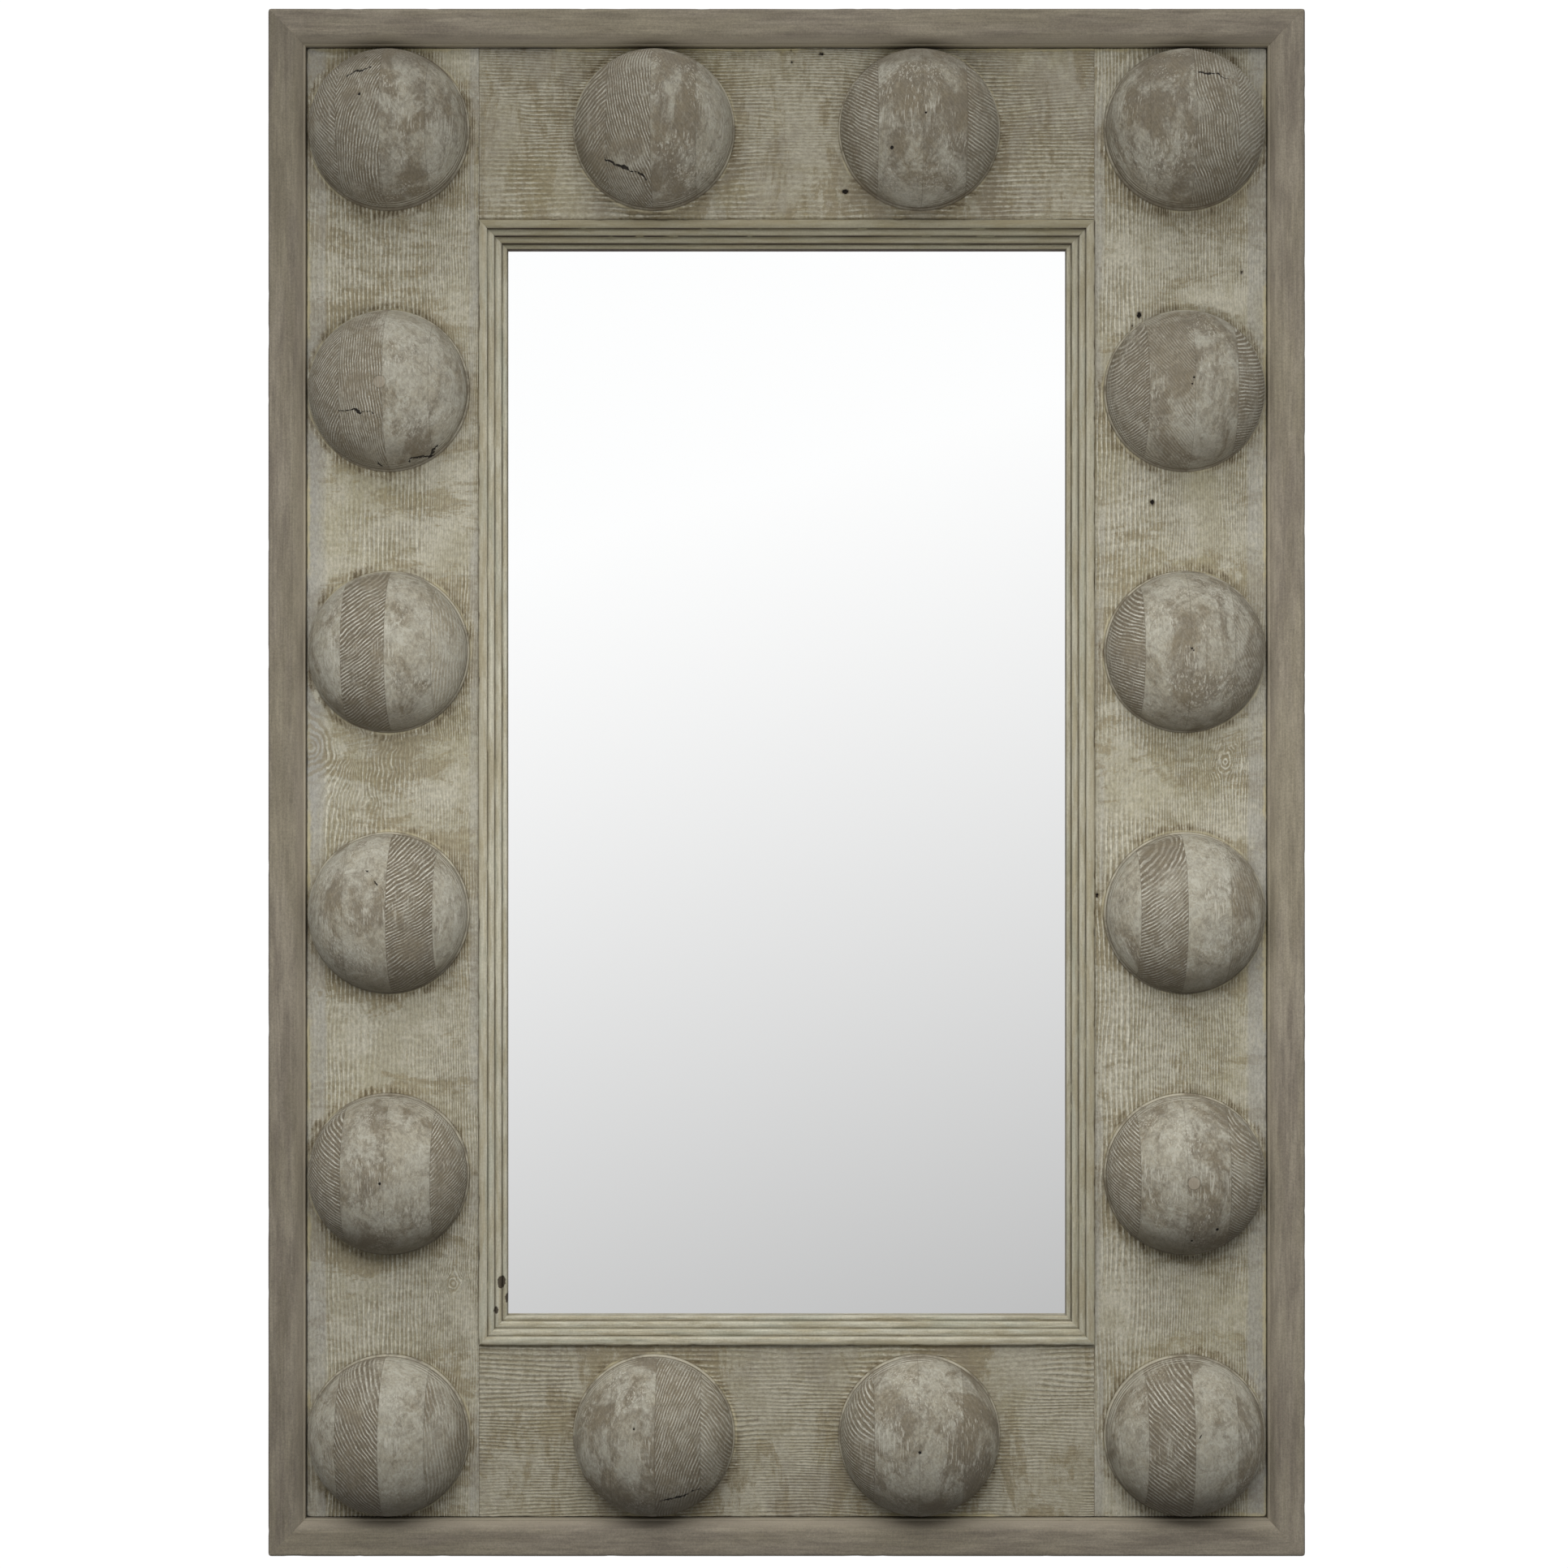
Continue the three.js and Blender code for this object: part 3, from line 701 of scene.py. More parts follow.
def reed_finish(name, along_z):
    """Cream wash on the crowns of the reeds, rubbed through to olive brown, with painted shade by side and
    thin lines of painted shadow at the risers.
    """
    look = Finish(name, roughness=0.72, specular=0.3)
    streaks, lengths = look.along(along_z, 0.06), look.along(along_z, 0.14)
    grain = look.cloud(420, 7, 0.74, where=streaks)
    rubbed = look.cloud(90, 9, 0.74, where=lengths, twist=0.4).fade(0.42, 0.6)
    look.colour = look.blend(rubbed * 0.75, REED_CREAM, REED_OLIVE)
    look.paint(look.cloud(60, 5, 0.66, where=lengths).fade(0.5, 0.64) * 0.3, REED_COOL)
    look.shade(grain.fade(0.34, 0.66, 0.86, 1.12))
    look.shade(look.cloud(400, 5, 0.8).fade(0.34, 0.66, 0.9, 1.1))
    dim = look.number("dim")
    # Painted shade: the reeds of some sides are darkened, most on the top length, where the risers face down.
    look.paint(dim * 0.55, REED_SHADED)
    outer = look.number("outer") * look.cloud(24, 8, 0.72, where=lengths).fade(0.4, 0.58, 0.2, 1.0)
    look.paint(outer * 0.35, REED_OUTER)
    # Thin lines of painted shadow at the foot of each riser, stronger where the side is shaded.
    step = look.number("step").fade(0.35, 0.9) * look.choose(dim, 0.35, 0.9)
    look.paint(step * look.cloud(40, 4, 0.6, where=lengths).fade(0.3, 0.6, 0.5, 1.0), REED_SHADOW)
    chip = (look.number("chip") + look.cloud(420, 3).centred(2.5)).fade(-0.3, 0.5, 1.0, 0.0)
    look.paint(chip * 0.9, REED_CHIP)
    return look.finish(grain * 0.5 + rubbed * -0.12 - chip, 0.6)


def back_finish(name, along_z, dark, light):
    """Plain sawn wood for the backs that face the wall."""
    look = Finish(name, roughness=0.85, specular=0.2)
    streaks = look.along(along_z, 0.05)
    grain = look.cloud(120, 7, 0.66, where=streaks, twist=0.3)
    look.colour = look.blend(grain.fade(0.32, 0.68), dark, light)
    look.shade(look.cloud(5, 5, 0.6).fade(0.3, 0.7, 0.85, 1.1))
    saw = look.cloud(420, 2, 0.5, where=look.along(not along_z, 0.05))
    look.shade(saw.fade(0.3, 0.7, 0.95, 1.04))
    look.paint(look.cloud(1100, 2, where=streaks).fade(0.62, 0.75) * 0.35, SAWN_PORE)
    return look.finish(grain * 0.5 + saw * 0.2, 0.4)


def panel_finish():
    """Smooth brown hardboard with a fine mottle and a few scuffs."""
    look = Finish("backing_hardboard", roughness=0.62, specular=0.3)
    fibres = look.cloud(800, 5, 0.75)
    look.colour = look.blend(fibres.fade(0.3, 0.7), PANEL_DARK, PANEL_LIGHT)
    look.shade(look.cloud(4, 5, 0.6).fade(0.3, 0.7, 0.9, 1.08))
    scuff = look.cloud(30, 6, 0.7, where=look.stretched(0.3, 1.0, 2.2)).fade(0.64, 0.74)
    look.paint(scuff * 0.35, PANEL_SCUFF)
    return look.finish(fibres, 0.12, fibres.fade(0.3, 0.7, 0.55, 0.7))


def steel_finish():
    """Zinc-plated steel with a soft spangle and light handling marks."""
    look = Finish("zinc_plated_steel", roughness=0.34, metallic=1.0)
    look.colour = look.blend(look.cloud(350, 3, 0.6).fade(0.3, 0.7), ZINC_DARK, ZINC_LIGHT)
    dull = look.cloud(900, 4, 0.7).fade(0.3, 0.75, 0.24, 0.5)
    return look.finish(look.cloud(1400, 2), 0.04, dull)


def mirror_finish():
    """Silvered glass: a clean mirror that is a little greener toward its edges."""
    look = Finish("silvered_glass", roughness=0.015, metallic=1.0, specular=0.5)
    x, _, z = look.split(look.where)
    rim = x.size().fade(0.345, 0.3525).larger(z.size().fade(0.646, 0.6535))
    look.colour = look.blend(rim, (0.985, 0.99, 0.99), (0.9, 0.93, 0.92))
    return look.finish()


# ---- Domes ----

# For each dome: the sideways shift of its glue lines, then its four staves, left to right. A plain
# number is the whiteness of a smooth stave. A ridged stave has its whiteness, the depth of its
# ridges, the direction across its rings (x, toward the viewer, z) and the rings' spacing.
DOMES = {
    "left_1": (-1.0, (0.3, 1.0, (0.75, 0.25, 0.7), 3.6), (0.3, 1.0, (0.95, 0.35, -0.3), 3.6), 0.45, 0.6),
    "left_2": (2.5, (0.3, 0.95, (0.75, 0.2, -0.65), 3.4), (0.35, 1.0, (1.0, 0.15, 0.08), 3.1), 0.85, 0.8),
    "left_3": (5.0, 0.7, (0.12, 1.0, (-0.62, 0.22, 0.8), 3.7), 0.75, (0.85, 0.6, (1.0, -0.3, 0.05), 4.6)),
    "left_4": (7.0, 0.6, 0.8, (0.1, 1.0, (-0.5, 0.2, 0.85), 3.8), 0.9),
    "left_5": (4.5, (0.25, 1.0, (0.25, 0.35, 0.95), 4.3), 0.6, 0.75, (0.35, 0.95, (-0.62, 0.2, 0.78), 3.5)),
    "left_6": (-2.5, 0.65, (0.12, 0.8, (0.8, 0.15, 0.6), 4.2), 1.0, (0.5, 0.6, (1.0, -0.3, 0.12), 4.4)),
    "right_1": (3.5, 0.4, 0.35, (0.35, 0.9, (0.97, 0.2, 0.2), 3.4), (0.35, 0.9, (0.78, 0.05, -0.6), 3.5)),
    "right_2": (2.0, (0.15, 0.85, (-0.68, 0.2, 0.72), 2.9), (0.4, 0.4, (0.75, 0.1, 0.62), 2.9), 0.6,
                (0.35, 1.0, (0.22, 0.35, 0.95), 4.1)),
    "right_3": (-2.5, (0.2, 1.0, (0.1, 0.25, 1.0), 4.1), 0.6, 0.65, (0.45, 0.3, (0.8, -0.1, 0.55), 3.6)),
    "right_4": (-6.5, 0.7, (0.15, 0.95, (-0.66, 0.3, 0.78), 3.7), 0.95, (0.6, 0.3, (1.0, -0.25, 0.2), 4.2)),
    "right_5": (-7.0, (0.3, 1.0, (0.5, 0.2, 0.86), 3.9), 0.65, 0.45, (0.4, 0.8, (0.68, 0.2, 0.72), 3.3)),
    "right_6": (2.0, 0.65, (0.15, 0.85, (0.6, 0.15, 0.8), 4.8), 0.8, 0.45),
    "top_1": (-1.0, (0.3, 1.0, (-0.8, 0.2, 0.62), 3.5), (0.25, 0.95, (1.0, 0.3, 0.28), 3.3), 0.35, 0.65),
    "top_2": (1.5, (0.3, 0.9, (0.5, 0.15, 0.85), 3.6), 0.5, 0.45, (0.35, 1.0, (0.55, 0.2, 0.82), 3.9)),
    "bottom_1": (4.5, 0.55, 0.5, (0.3, 0.8, (1.0, 0.1, -0.38), 3.2), (0.45, 0.85, (0.75, -0.1, 0.68), 3.8)),
    "bottom_2": (-3.0, (0.35, 1.0, (0.12, 0.5, 0.95), 5.0), 0.6, 0.6, 0.35),
}

FAINT_RIDGES = (0.06, (0.8, 0.1, 0.5), 3.2)  # what a smooth stave has after its whiteness

# Cracks across the end of a stave, as lines of (x, z) from the dome's middle.
CRACKS = {
    "left_1": [[(-40, 50), (-31, 54), (-22, 56), (-11, 58)]],
    "left_2": [[(-48, -32), (-35, -31), (-22, -34), (-8, -36)], [(-9, -88), (-4, -91)],
               [(28, -86), (48, -79), (62, -68)]],
    "left_4": [[(-18, 54), (-6, 41), (5, 30)]],
    "right_1": [[(6, 53), (18, 51), (30, 50), (42, 47)]],
    "right_6": [[(4, 13), (10, 18)]],
    "top_1": [[(-56, -46), (-43, -52), (-30, -58), (-18, -62), (-6, -70)]],
    "bottom_1": [[(10, -63), (32, -60), (55, -51)]],
}
THIN_CRACKS = ("left_4", "right_6")

# Small holes: x, z and radius.
HOLES = {
    "left_1": [(-24, 25, 1.6), (-20, 74, 1.0)],
    "left_5": [(0.5, -0.5, 1.5)],
    "right_2": [(0, 5, 1.2), (-2, -2.5, 1.0)],
    "right_3": [(-2.5, 0.5, 1.3), (-0.5, -1.8, 0.9)],
    "right_5": [(30, -57, 1.7), (1, -71, 1.2)],
    "top_2": [(4, 2, 1.2), (-35, -36, 2.0)],
    "bottom_1": [(-20, 24, 1.3)],
    "bottom_2": [(-3, -2.5, 1.7)],
}

PLUGGED = ("left_2", "right_5")

# Domes with a band of painted shade beside their top rim, and how strong it is.
DARK_TOPS = {"left_1": 0.85, "top_2": 0.85, "right_1": 0.6, "left_5": 0.4}


def stave_facts(stave):
    """Whiteness, depth of the ridges, direction across the rings and their spacing."""
    return stave if isinstance(stave, tuple) else (stave, *FAINT_RIDGES)


def dome_places():
    """Where each dome's middle is, by the dome's own place on the frame."""
    places = {}
    row_pitch = 2 * DOME_Z / 5
    for row in range(6):
        z = DOME_Z - row * row_pitch
        places[f"left_{row + 1}"] = (-DOME_X, z)
        places[f"right_{row + 1}"] = (DOME_X, z)
    for column, x in enumerate((-DOME_X / 3, DOME_X / 3)):
        places[f"top_{column + 1}"] = (x, DOME_Z)
        places[f"bottom_{column + 1}"] = (x, -DOME_Z)
    return places


def dome_profile():
    """Radius, height and way travelled from the pole down to the foot, evenly dense."""
    curve = np.linspace(math.pi / 2, 0, 400)
    start = DOME_FOOT + DOME_SHOULDER / 2
    radius = (DOME_RADIUS - DOME_SHOULDER) * np.cos(curve)
    height = start + (DOME_HEIGHT - start) * np.sin(curve)
    radius = np.concatenate([radius, [DOME_RADIUS, DOME_RADIUS]])
    height = np.concatenate([height, [DOME_FOOT, 0.0]])
    way = np.concatenate([[0], np.cumsum(np.hypot(np.diff(radius), np.diff(height)))])
    return radius, height, way


def disc_grid(cells):
    """A square grid bent onto a disc: share of the way out, and the angle."""
    line = np.linspace(-1, 1, cells + 1)
    a, b = np.meshgrid(line, line, indexing="ij")
    wide = np.abs(a) > np.abs(b)
    safe_a, safe_b = np.where(a == 0, 1e-9, a), np.where(b == 0, 1e-9, b)
    out = np.where(wide, a, b)
    angle = np.where(wide, math.pi / 4 * b / safe_a, math.pi / 2 - math.pi / 4 * a / safe_b)
    return np.abs(out).ravel(), np.where(out < 0, angle + math.pi, angle).ravel()


class DomeSurface:
    """The smooth turned surface that every dome starts from, on a grid of vertices."""

    def __init__(self):
        profile_radius, profile_height, travel = dome_profile()
        share, self.turn = disc_grid(DOME_CELLS)
        way = share * travel[-1]
        step = travel[-1] / DOME_CELLS
        self.radius = np.interp(way, travel, profile_radius)
        self.height = np.interp(way, travel, profile_height)
        fall_r = np.interp(way + step, travel, profile_radius) - np.interp(way - step, travel, profile_radius)
        fall_h = np.interp(way + step, travel, profile_height) - np.interp(way - step, travel, profile_height)
        slope = np.hypot(fall_r, fall_h)
        self.normal_r, self.normal_h = -fall_h / slope, fall_r / slope
        self.u = self.radius * np.cos(self.turn)
        self.v = self.radius * np.sin(self.turn)
        self.rim = travel[-1] - way

    def sunk(self, sink, x0, z0):
        """The vertices' places in the frame, once the surface has sunk in by a distance."""
        spread = self.radius - sink * self.normal_r
        rise = np.maximum(self.height - sink * self.normal_h, 0)
        x, z = x0 + spread * np.cos(self.turn), z0 + spread * np.sin(self.turn)
        return np.stack([x, -(DOME_BASE + rise), z], -1)


def dome_rings(surface, staves, seed):
    """Ring number and ridge depth of each stave, all over the dome."""
    u, v = surface.u, surface.v
    phases, depths = [], []
    for k, (_, depth, direction, spacing) in enumerate(staves):
        across = np.array(direction) / math.hypot(direction[0], direction[2])
        ring = (u * across[0] + surface.height * across[1] + v * across[2]) / spacing
        own = seed + 10 * k
        ring = ring + 0.9 * noise(u, v, 42, 42, own, 2) + 0.16 * noise(u, v, 9, 9, own + 5)
        patches = fade(noise(u, v, 34, 40, own + 3, 3), -0.75, -0.1)
        phases.append(ring)
        depths.append(depth * (0.25 + 0.75 * patches) * fade(surface.rim, 7, 17))
    return phases, depths


def lathe_lines(surface, seed):
    """How deep the turned lines beside the rim are."""
    turned = np.zeros(surface.u.shape)
    for line_way, strength in ((9.5, 1.0), (14.5, 0.6), (19.0, 0.8)):
        beside = (surface.rim - line_way) / 0.9
        turned += strength * (np.exp(-(beside**2)) - 0.7 * np.exp(-((beside - 1.9) ** 2)))
    turned *= 0.45 + 0.55 * fade(noise(surface.u, surface.v, 60, 60, seed + 61, 2), -0.6, 0.4)
    return np.maximum(turned, 0)


def dome_cracks(surface, place, seed):
    """Distance to the nearest crack, larger toward its ends so that it tapers."""
    u, v = surface.u, surface.v
    crack = np.full(u.shape, FAR)
    for points in CRACKS.get(place, ()):
        ragged_u = u + 1.1 * noise(u, v, 5, 5, seed + 91)
        ragged_v = v + 1.6 * noise(u, v, 6, 6, seed + 92)
        gap, along = distance_to_line(ragged_u, ragged_v, points)
        crack = np.minimum(crack, gap + 0.9 * np.abs(along - 0.45))
    return crack + 0.4 if place in THIN_CRACKS else crack


def dome_piece(surface, place, x0, z0, seed, material):
    """One dome with its brushed rings, lathe lines, cracks and holes."""
    name = "dome_" + place
    u, v = surface.u, surface.v
    shift, *staves = DOMES[place]
    staves = [stave_facts(stave) for stave in staves]
    side = u - shift
    phases, depths = dome_rings(surface, staves, seed)
    stave = sum((side > edge).astype(int) for edge in STAVE_EDGES)
    ridge = 0.5 + 0.5 * np.sin(2 * math.pi * np.choose(stave, phases))
    crack = dome_cracks(surface, place, seed)
    hole = distance_to_holes(u, v, HOLES.get(place, ()))

    sink = 0.5 * np.choose(stave, depths) * (1 - ridge)
    sink += 0.22 * (0.5 + 0.5 * noise(u, v, 26, 30, seed + 71, 3))
    sink += 0.4 * lathe_lines(surface, seed)
    sink += 1.3 * fade(1.1 - crack, 0, 1.0) + 1.6 * fade(0.4 - hole, 0, 0.9)
    sink = sink * fade(surface.rim, 0.5, 4.0)

    size = DOME_CELLS + 1
    faces = grid_faces(size, size)
    faces.append(grid_rim(size, size)[::-1])
    piece = make_piece(name + "_turned", surface.sunk(sink, x0, z0), faces, [material])
    smooth_by_angle(piece.data, 50)
    # Darker toward the bottom, more so on the lower rows: partly brown stain, partly painted shade. DARK_TOPS
    # adds painted shade by the top rim.
    row_share = np.interp(z0, (-DOME_Z, DOME_Z), (1.05, 0.6))
    low = np.maximum(row_share * fade(-v, 18, 92), DARK_TOPS.get(place, 0) * fade(v, 40, 84))
    plug = np.hypot(u, v) if place in PLUGGED else np.full(u.shape, FAR)
    tones = np.tile([facts[0] for facts in staves], (len(u), 1))
    set_numbers(piece.data, side=side, rim=surface.rim, low=low, crack=crack, hole=hole, plug=plug)
    set_fours(piece.data, rings=np.stack(phases, -1), ridged=np.stack(depths, -1), tones=tones)
    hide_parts(name)


def domes():
    surface = DomeSurface()
    material = dome_finish()
    for k, (place, (x, z)) in enumerate(dome_places().items()):
        dome_piece(surface, place, x, z, 1000 + 97 * k, material)


# ---- Boards ----

# Knots: x, z and the radius of their own rings. The grain flows round them.
KNOTS = [(-563, 42, 34), (519, 24, 9), (-394, -593, 8), (-552, -250, 7)]

# The rings' spacing across each board, as (place, spacing).
RING_SPACING = {
    "stile_left": ((-576, 5.0), (-470, 5.3), (-446, 4.6), (-425, 3.2), (-364, 3.0)),
    "stile_right": ((364, 5.2), (405, 5.6), (428, 4.4), (450, 3.3), (576, 3.1)),
    "rail_top": ((664, 6.4), (735, 5.6), (765, 4.2), (840, 3.8), (877, 3.2)),
    "rail_bottom": ((-877, 4.0), (-820, 3.6), (-760, 4.4), (-710, 5.2), (-664, 5.8)),
}

# Nail and worm holes in the boards: x, z and radius.
BOARD_HOLES = [
    (432.6, 331.5, 3.2), (69.3, 699, 3.1), (538.5, 603, 2.1), (40.8, 862, 2.2), (4.5, 866, 1.6),
    (6, 852, 0.9), (-36, -753, 1.2), (-30, -882, 1.0), (417, 553, 3.4), (367.2, -133.6, 2.6),
    (409, 541, 1.2), (-430, 792, 0.9),
]


def ring_count(place, name):
    """How many rings lie between the board's edge and each place across it."""
    places, gaps = zip(*RING_SPACING[name])
    fine = np.linspace(places[0] - 40, places[-1] + 40, 3000)
    per_step = (fine[1] - fine[0]) / np.interp(fine, places, gaps)
    return np.interp(place, fine, np.cumsum(per_step))


def board_rings(u, v, name, seed):
    """The ring number at each place: u across the grain and v along it."""
    warp = 5.0 * noise(u, v, 60, 420, seed + 1, 2) + 2.6 * noise(u, v, 34, 120, seed + 2, 2)
    warp = warp + 0.8 * noise(u, v, 9, 30, seed + 3)
    return ring_count(u + warp, name)


def rim_distance(x, z):
    """Distance to the nearest dome's foot."""
    return distance_to_holes(x, z, [(x0, z0, DOME_RADIUS) for x0, z0 in dome_places().values()])


def round_knots(x, z, along_z):
    """The place across the grain once the grain has flowed round the knots, and the knots' cores."""
    across, along = (x, z) if along_z else (z, x)
    moved = across.copy()
    core = np.zeros(x.shape)
    for x0, z0, radius in KNOTS:
        beside = across - (x0 if along_z else z0)
        ahead = 0.8 * (along - (z0 if along_z else x0))
        distance = np.hypot(beside, ahead) * (1 + 0.3 * noise(x, z, 0.8 * radius, 0.8 * radius, 501, 3))
        reach = np.exp(-((np.maximum(distance - radius, 0) / (1.7 * radius)) ** 2))
        moved -= beside * (radius / np.maximum(distance, radius)) ** 2 * reach
        moved = np.where(distance < radius, across - beside - 0.75 * (radius - distance), moved)
        core = np.maximum(core, fade(-distance, -1.25 * radius, -0.7 * radius))
    return moved, core


def planed_bands(x, z, seed):
    """Where a stile was planed smoother: a band near its outer edge and one beside the window."""
    outer = BOARD_HALF_WIDTH - np.abs(x) + 1.2 * noise(x, z, 30, 60, seed + 30, 2)
    beside = np.abs(x) - WINDOW_HALF_WIDTH
    near_lip = fade(-outer, -33, -28) * (0.7 + 0.3 * noise(x, z, 20, 160, seed + 31))
    near_window = 0.6 * fade(-beside, -14, -8) * fade(noise(x, z, 30, 120, seed + 32, 2), -0.4, 0.2)
    return np.maximum(near_lip, near_window)


def joint_distance(x, z, along_z):
    """Distance to the butt joint between a stile and a rail."""
    if not along_z:
        return WINDOW_HALF_WIDTH - SEAT - np.abs(x)
    beside = np.abs(np.abs(z) - (WINDOW_HALF_HEIGHT + BOARD_HALF_HEIGHT) / 2)
    in_reach = beside < (BOARD_HALF_HEIGHT - WINDOW_HALF_HEIGHT) / 2
    return np.where(in_reach, np.abs(x) - WINDOW_HALF_WIDTH, FAR)


def ridge_depth(x, z, rim, name, seed):
    """How deep the brushed ridges are: patchy, and deeper in places round the domes."""
    patches = fade(noise(x, z, 55, 70, seed + 20, 4), -0.55, 0.3)
    near_rim = 0.35 * fade(-rim, -14, -4) * fade(noise(x, z, 22, 22, seed + 23, 2), -0.2, 0.5)
    depth = np.maximum(0.25 + 0.75 * patches, near_rim)
    return depth * 0.6 if name == "rail_bottom" else depth


def board_mesh(name, front, rows, columns, materials):
    """A board from the grid of its front: plain edges and a plain back behind it."""
    rim = grid_rim(rows, columns)
    back = front[rim].copy()
    back[:, 1] = -BOARD_BACK
    faces = grid_faces(rows, columns)
    plain = np.zeros(len(faces) + len(rim) + 1, np.int32)
    plain[len(faces):] = 1
    first, count = len(front), len(rim)
    for k in range(count):
        other = (k + 1) % count
        faces.append([rim[other], rim[k], first + k, first + other])
    faces.append([first + k for k in range(count)][::-1])
    piece = make_piece(name + "_brushed", np.concatenate([front, back]), faces, materials)
    piece.data.polygons.foreach_set("material_index", plain)
    smooth_by_angle(piece.data, 55)
    return piece, count


def board_piece(name, low_x, high_x, low_z, high_z, along_z, seed, materials):
    """One board with its brushed front."""
    cell_x, cell_z = (BOARD_CELL, BOARD_STEP) if along_z else (BOARD_STEP, BOARD_CELL)
    columns = int((high_x - low_x) / cell_x) + 1
    rows = int((high_z - low_z) / cell_z) + 1
    x, z = np.meshgrid(np.linspace(low_x, high_x, columns), np.linspace(low_z, high_z, rows))
    x, z = x.ravel(), z.ravel()
    u, knot = round_knots(x, z, along_z)
    v = z if along_z else x
    rings = board_rings(u, v, name, seed)
    rim = rim_distance(x, z)
    band = planed_bands(x, z, seed) if along_z else np.zeros(x.shape)
    ridged = ridge_depth(x, z, rim, name, seed) * (1 - 0.85 * np.clip(band, 0, 1))
    hole = distance_to_holes(x, z, BOARD_HOLES, 1.2 if along_z else 0.9)
    joint = joint_distance(x, z, along_z)
    lip = np.minimum(HALF_WIDTH - MOULDING_FACE - np.abs(x), HALF_HEIGHT - MOULDING_FACE - np.abs(z))
    inner = np.maximum(np.abs(x) - WINDOW_HALF_WIDTH, np.abs(z) - WINDOW_HALF_HEIGHT)

    sink = 0.75 * ridged * (0.5 - 0.5 * np.sin(2 * math.pi * rings))
    sink += 0.35 * (0.5 + 0.5 * noise(x, z, 55, 80, seed + 40, 3))
    sink += 0.25 * (0.5 + 0.5 * noise(u, v, 3, 22, seed + 41)) * ridged
    sink += 2.2 * fade(0.6 - hole, 0, 1.4) + 0.6 * fade(1.3 - joint, 0, 1.2)
    front = np.stack([x, -(BOARD_FRONT - np.clip(sink, 0, 3.2)), z], -1)
    piece, extra = board_mesh(name, front, rows, columns, materials)

    distances = {"rim": rim, "hole": hole, "joint": joint, "lip": lip, "inner": inner}
    shares = {"rings": rings, "ridged": ridged, "band": band, "knot": knot}
    for numbers, elsewhere in ((distances, FAR), (shares, 0.0)):
        for key, values in numbers.items():
            set_numbers(piece.data, **{key: np.concatenate([values, np.full(extra, elsewhere)])})
    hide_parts(name)


def board_materials(way, along_z):
    """A board's brushed front and its sawn back."""
    back = back_finish("board_back_" + way, along_z, SAWN_DARK, SAWN_LIGHT)
    return [board_finish("board_limed_" + way, along_z), back]


def boards():
    stile, rail = board_materials("upright", True), board_materials("level", False)
    inner, outer = WINDOW_HALF_WIDTH, BOARD_HALF_WIDTH
    low, high = WINDOW_HALF_HEIGHT, BOARD_HALF_HEIGHT
    end = inner - SEAT
    board_piece("stile_left", -outer, -inner, -high, high, True, 11, stile)
    board_piece("stile_right", inner, outer, -high, high, True, 57, stile)
    board_piece("rail_top", -end, end, low, high, False, 103, rail)
    board_piece("rail_bottom", -end, end, -high, -low, False, 151, rail)


# ---- Mouldings ----

# By side: how much painted light brightens the outer moulding's glaze, how much painted light brightens its
# slope, and how much painted shade darkens the reeds.
MOULDING_LIGHT_BY_SIDE = {"left": 0.0, "right": 0.8, "top": 0.7, "bottom": 0.5}
SLOPE_LIGHT_BY_SIDE = {"left": 1.0, "right": 0.4, "top": 1.6, "bottom": 1.4}
REED_SHADE_BY_SIDE = {"left": 0.05, "right": 0.4, "top": 1.0, "bottom": 0.0}

# Chipped places in the lower left corner of the reeds: x, z, how much longer than wide, and radius.
CHIPS = ((-338, -592, 1.6, 4.5), (-331, -612, 1.8, 3.0), (-344, -625, 2.0, 2.2))


def round_line(points, step):
    """The same closed line with extra points, none further apart than step."""
    dense = []
    for k, (a, b) in enumerate(points):
        c, d = points[(k + 1) % len(points)]
        parts = max(1, int(math.hypot(c - a, d - b) / step))
        dense += [(a + (c - a) * t / parts, b + (d - b) * t / parts) for t in range(parts)]
    return np.array(dense)


def curve_through(p0, p1, p2, parts):
    """Points on a quadratic curve from p0 toward p1 to p2, without the last."""
    made = []
    for k in range(parts):
        t = k / parts
        a, b, c = (1 - t) ** 2, 2 * t * (1 - t), t * t
        made.append((a * p0[0] + b * p1[0] + c * p2[0], a * p0[1] + b * p1[1] + c * p2[1]))
    return made


def outer_section():
    """The outer moulding's section: in from the outside edge, and out from the wall."""
    edge = OUTSIDE_EDGE_RADIUS
    points = [(0, 0)]
    for k in range(9):
        angle = math.pi - k / 8 * math.pi / 2
        points.append((edge * (1 + math.cos(angle)), MOULDING_FRONT - edge * (1 - math.sin(angle))))
    slope_end = (MOULDING_FLAT + MOULDING_SLOPE, LIP_FRONT)
    bend = (MOULDING_FLAT + MOULDING_SLOPE / 2, MOULDING_FRONT - 1)
    points += curve_through((MOULDING_FLAT, MOULDING_FRONT), bend, slope_end, 10)
    points += [
        slope_end, (MOULDING_FACE - LIP_CHAMFER, LIP_FRONT), (MOULDING_FACE, LIP_FRONT - LIP_CHAMFER),
        (MOULDING_FACE, BOARD_FRONT + SEAT), (MOULDING_BODY, BOARD_FRONT + SEAT), (MOULDING_BODY, 0),
    ]
    return round_line(points, 2.2)


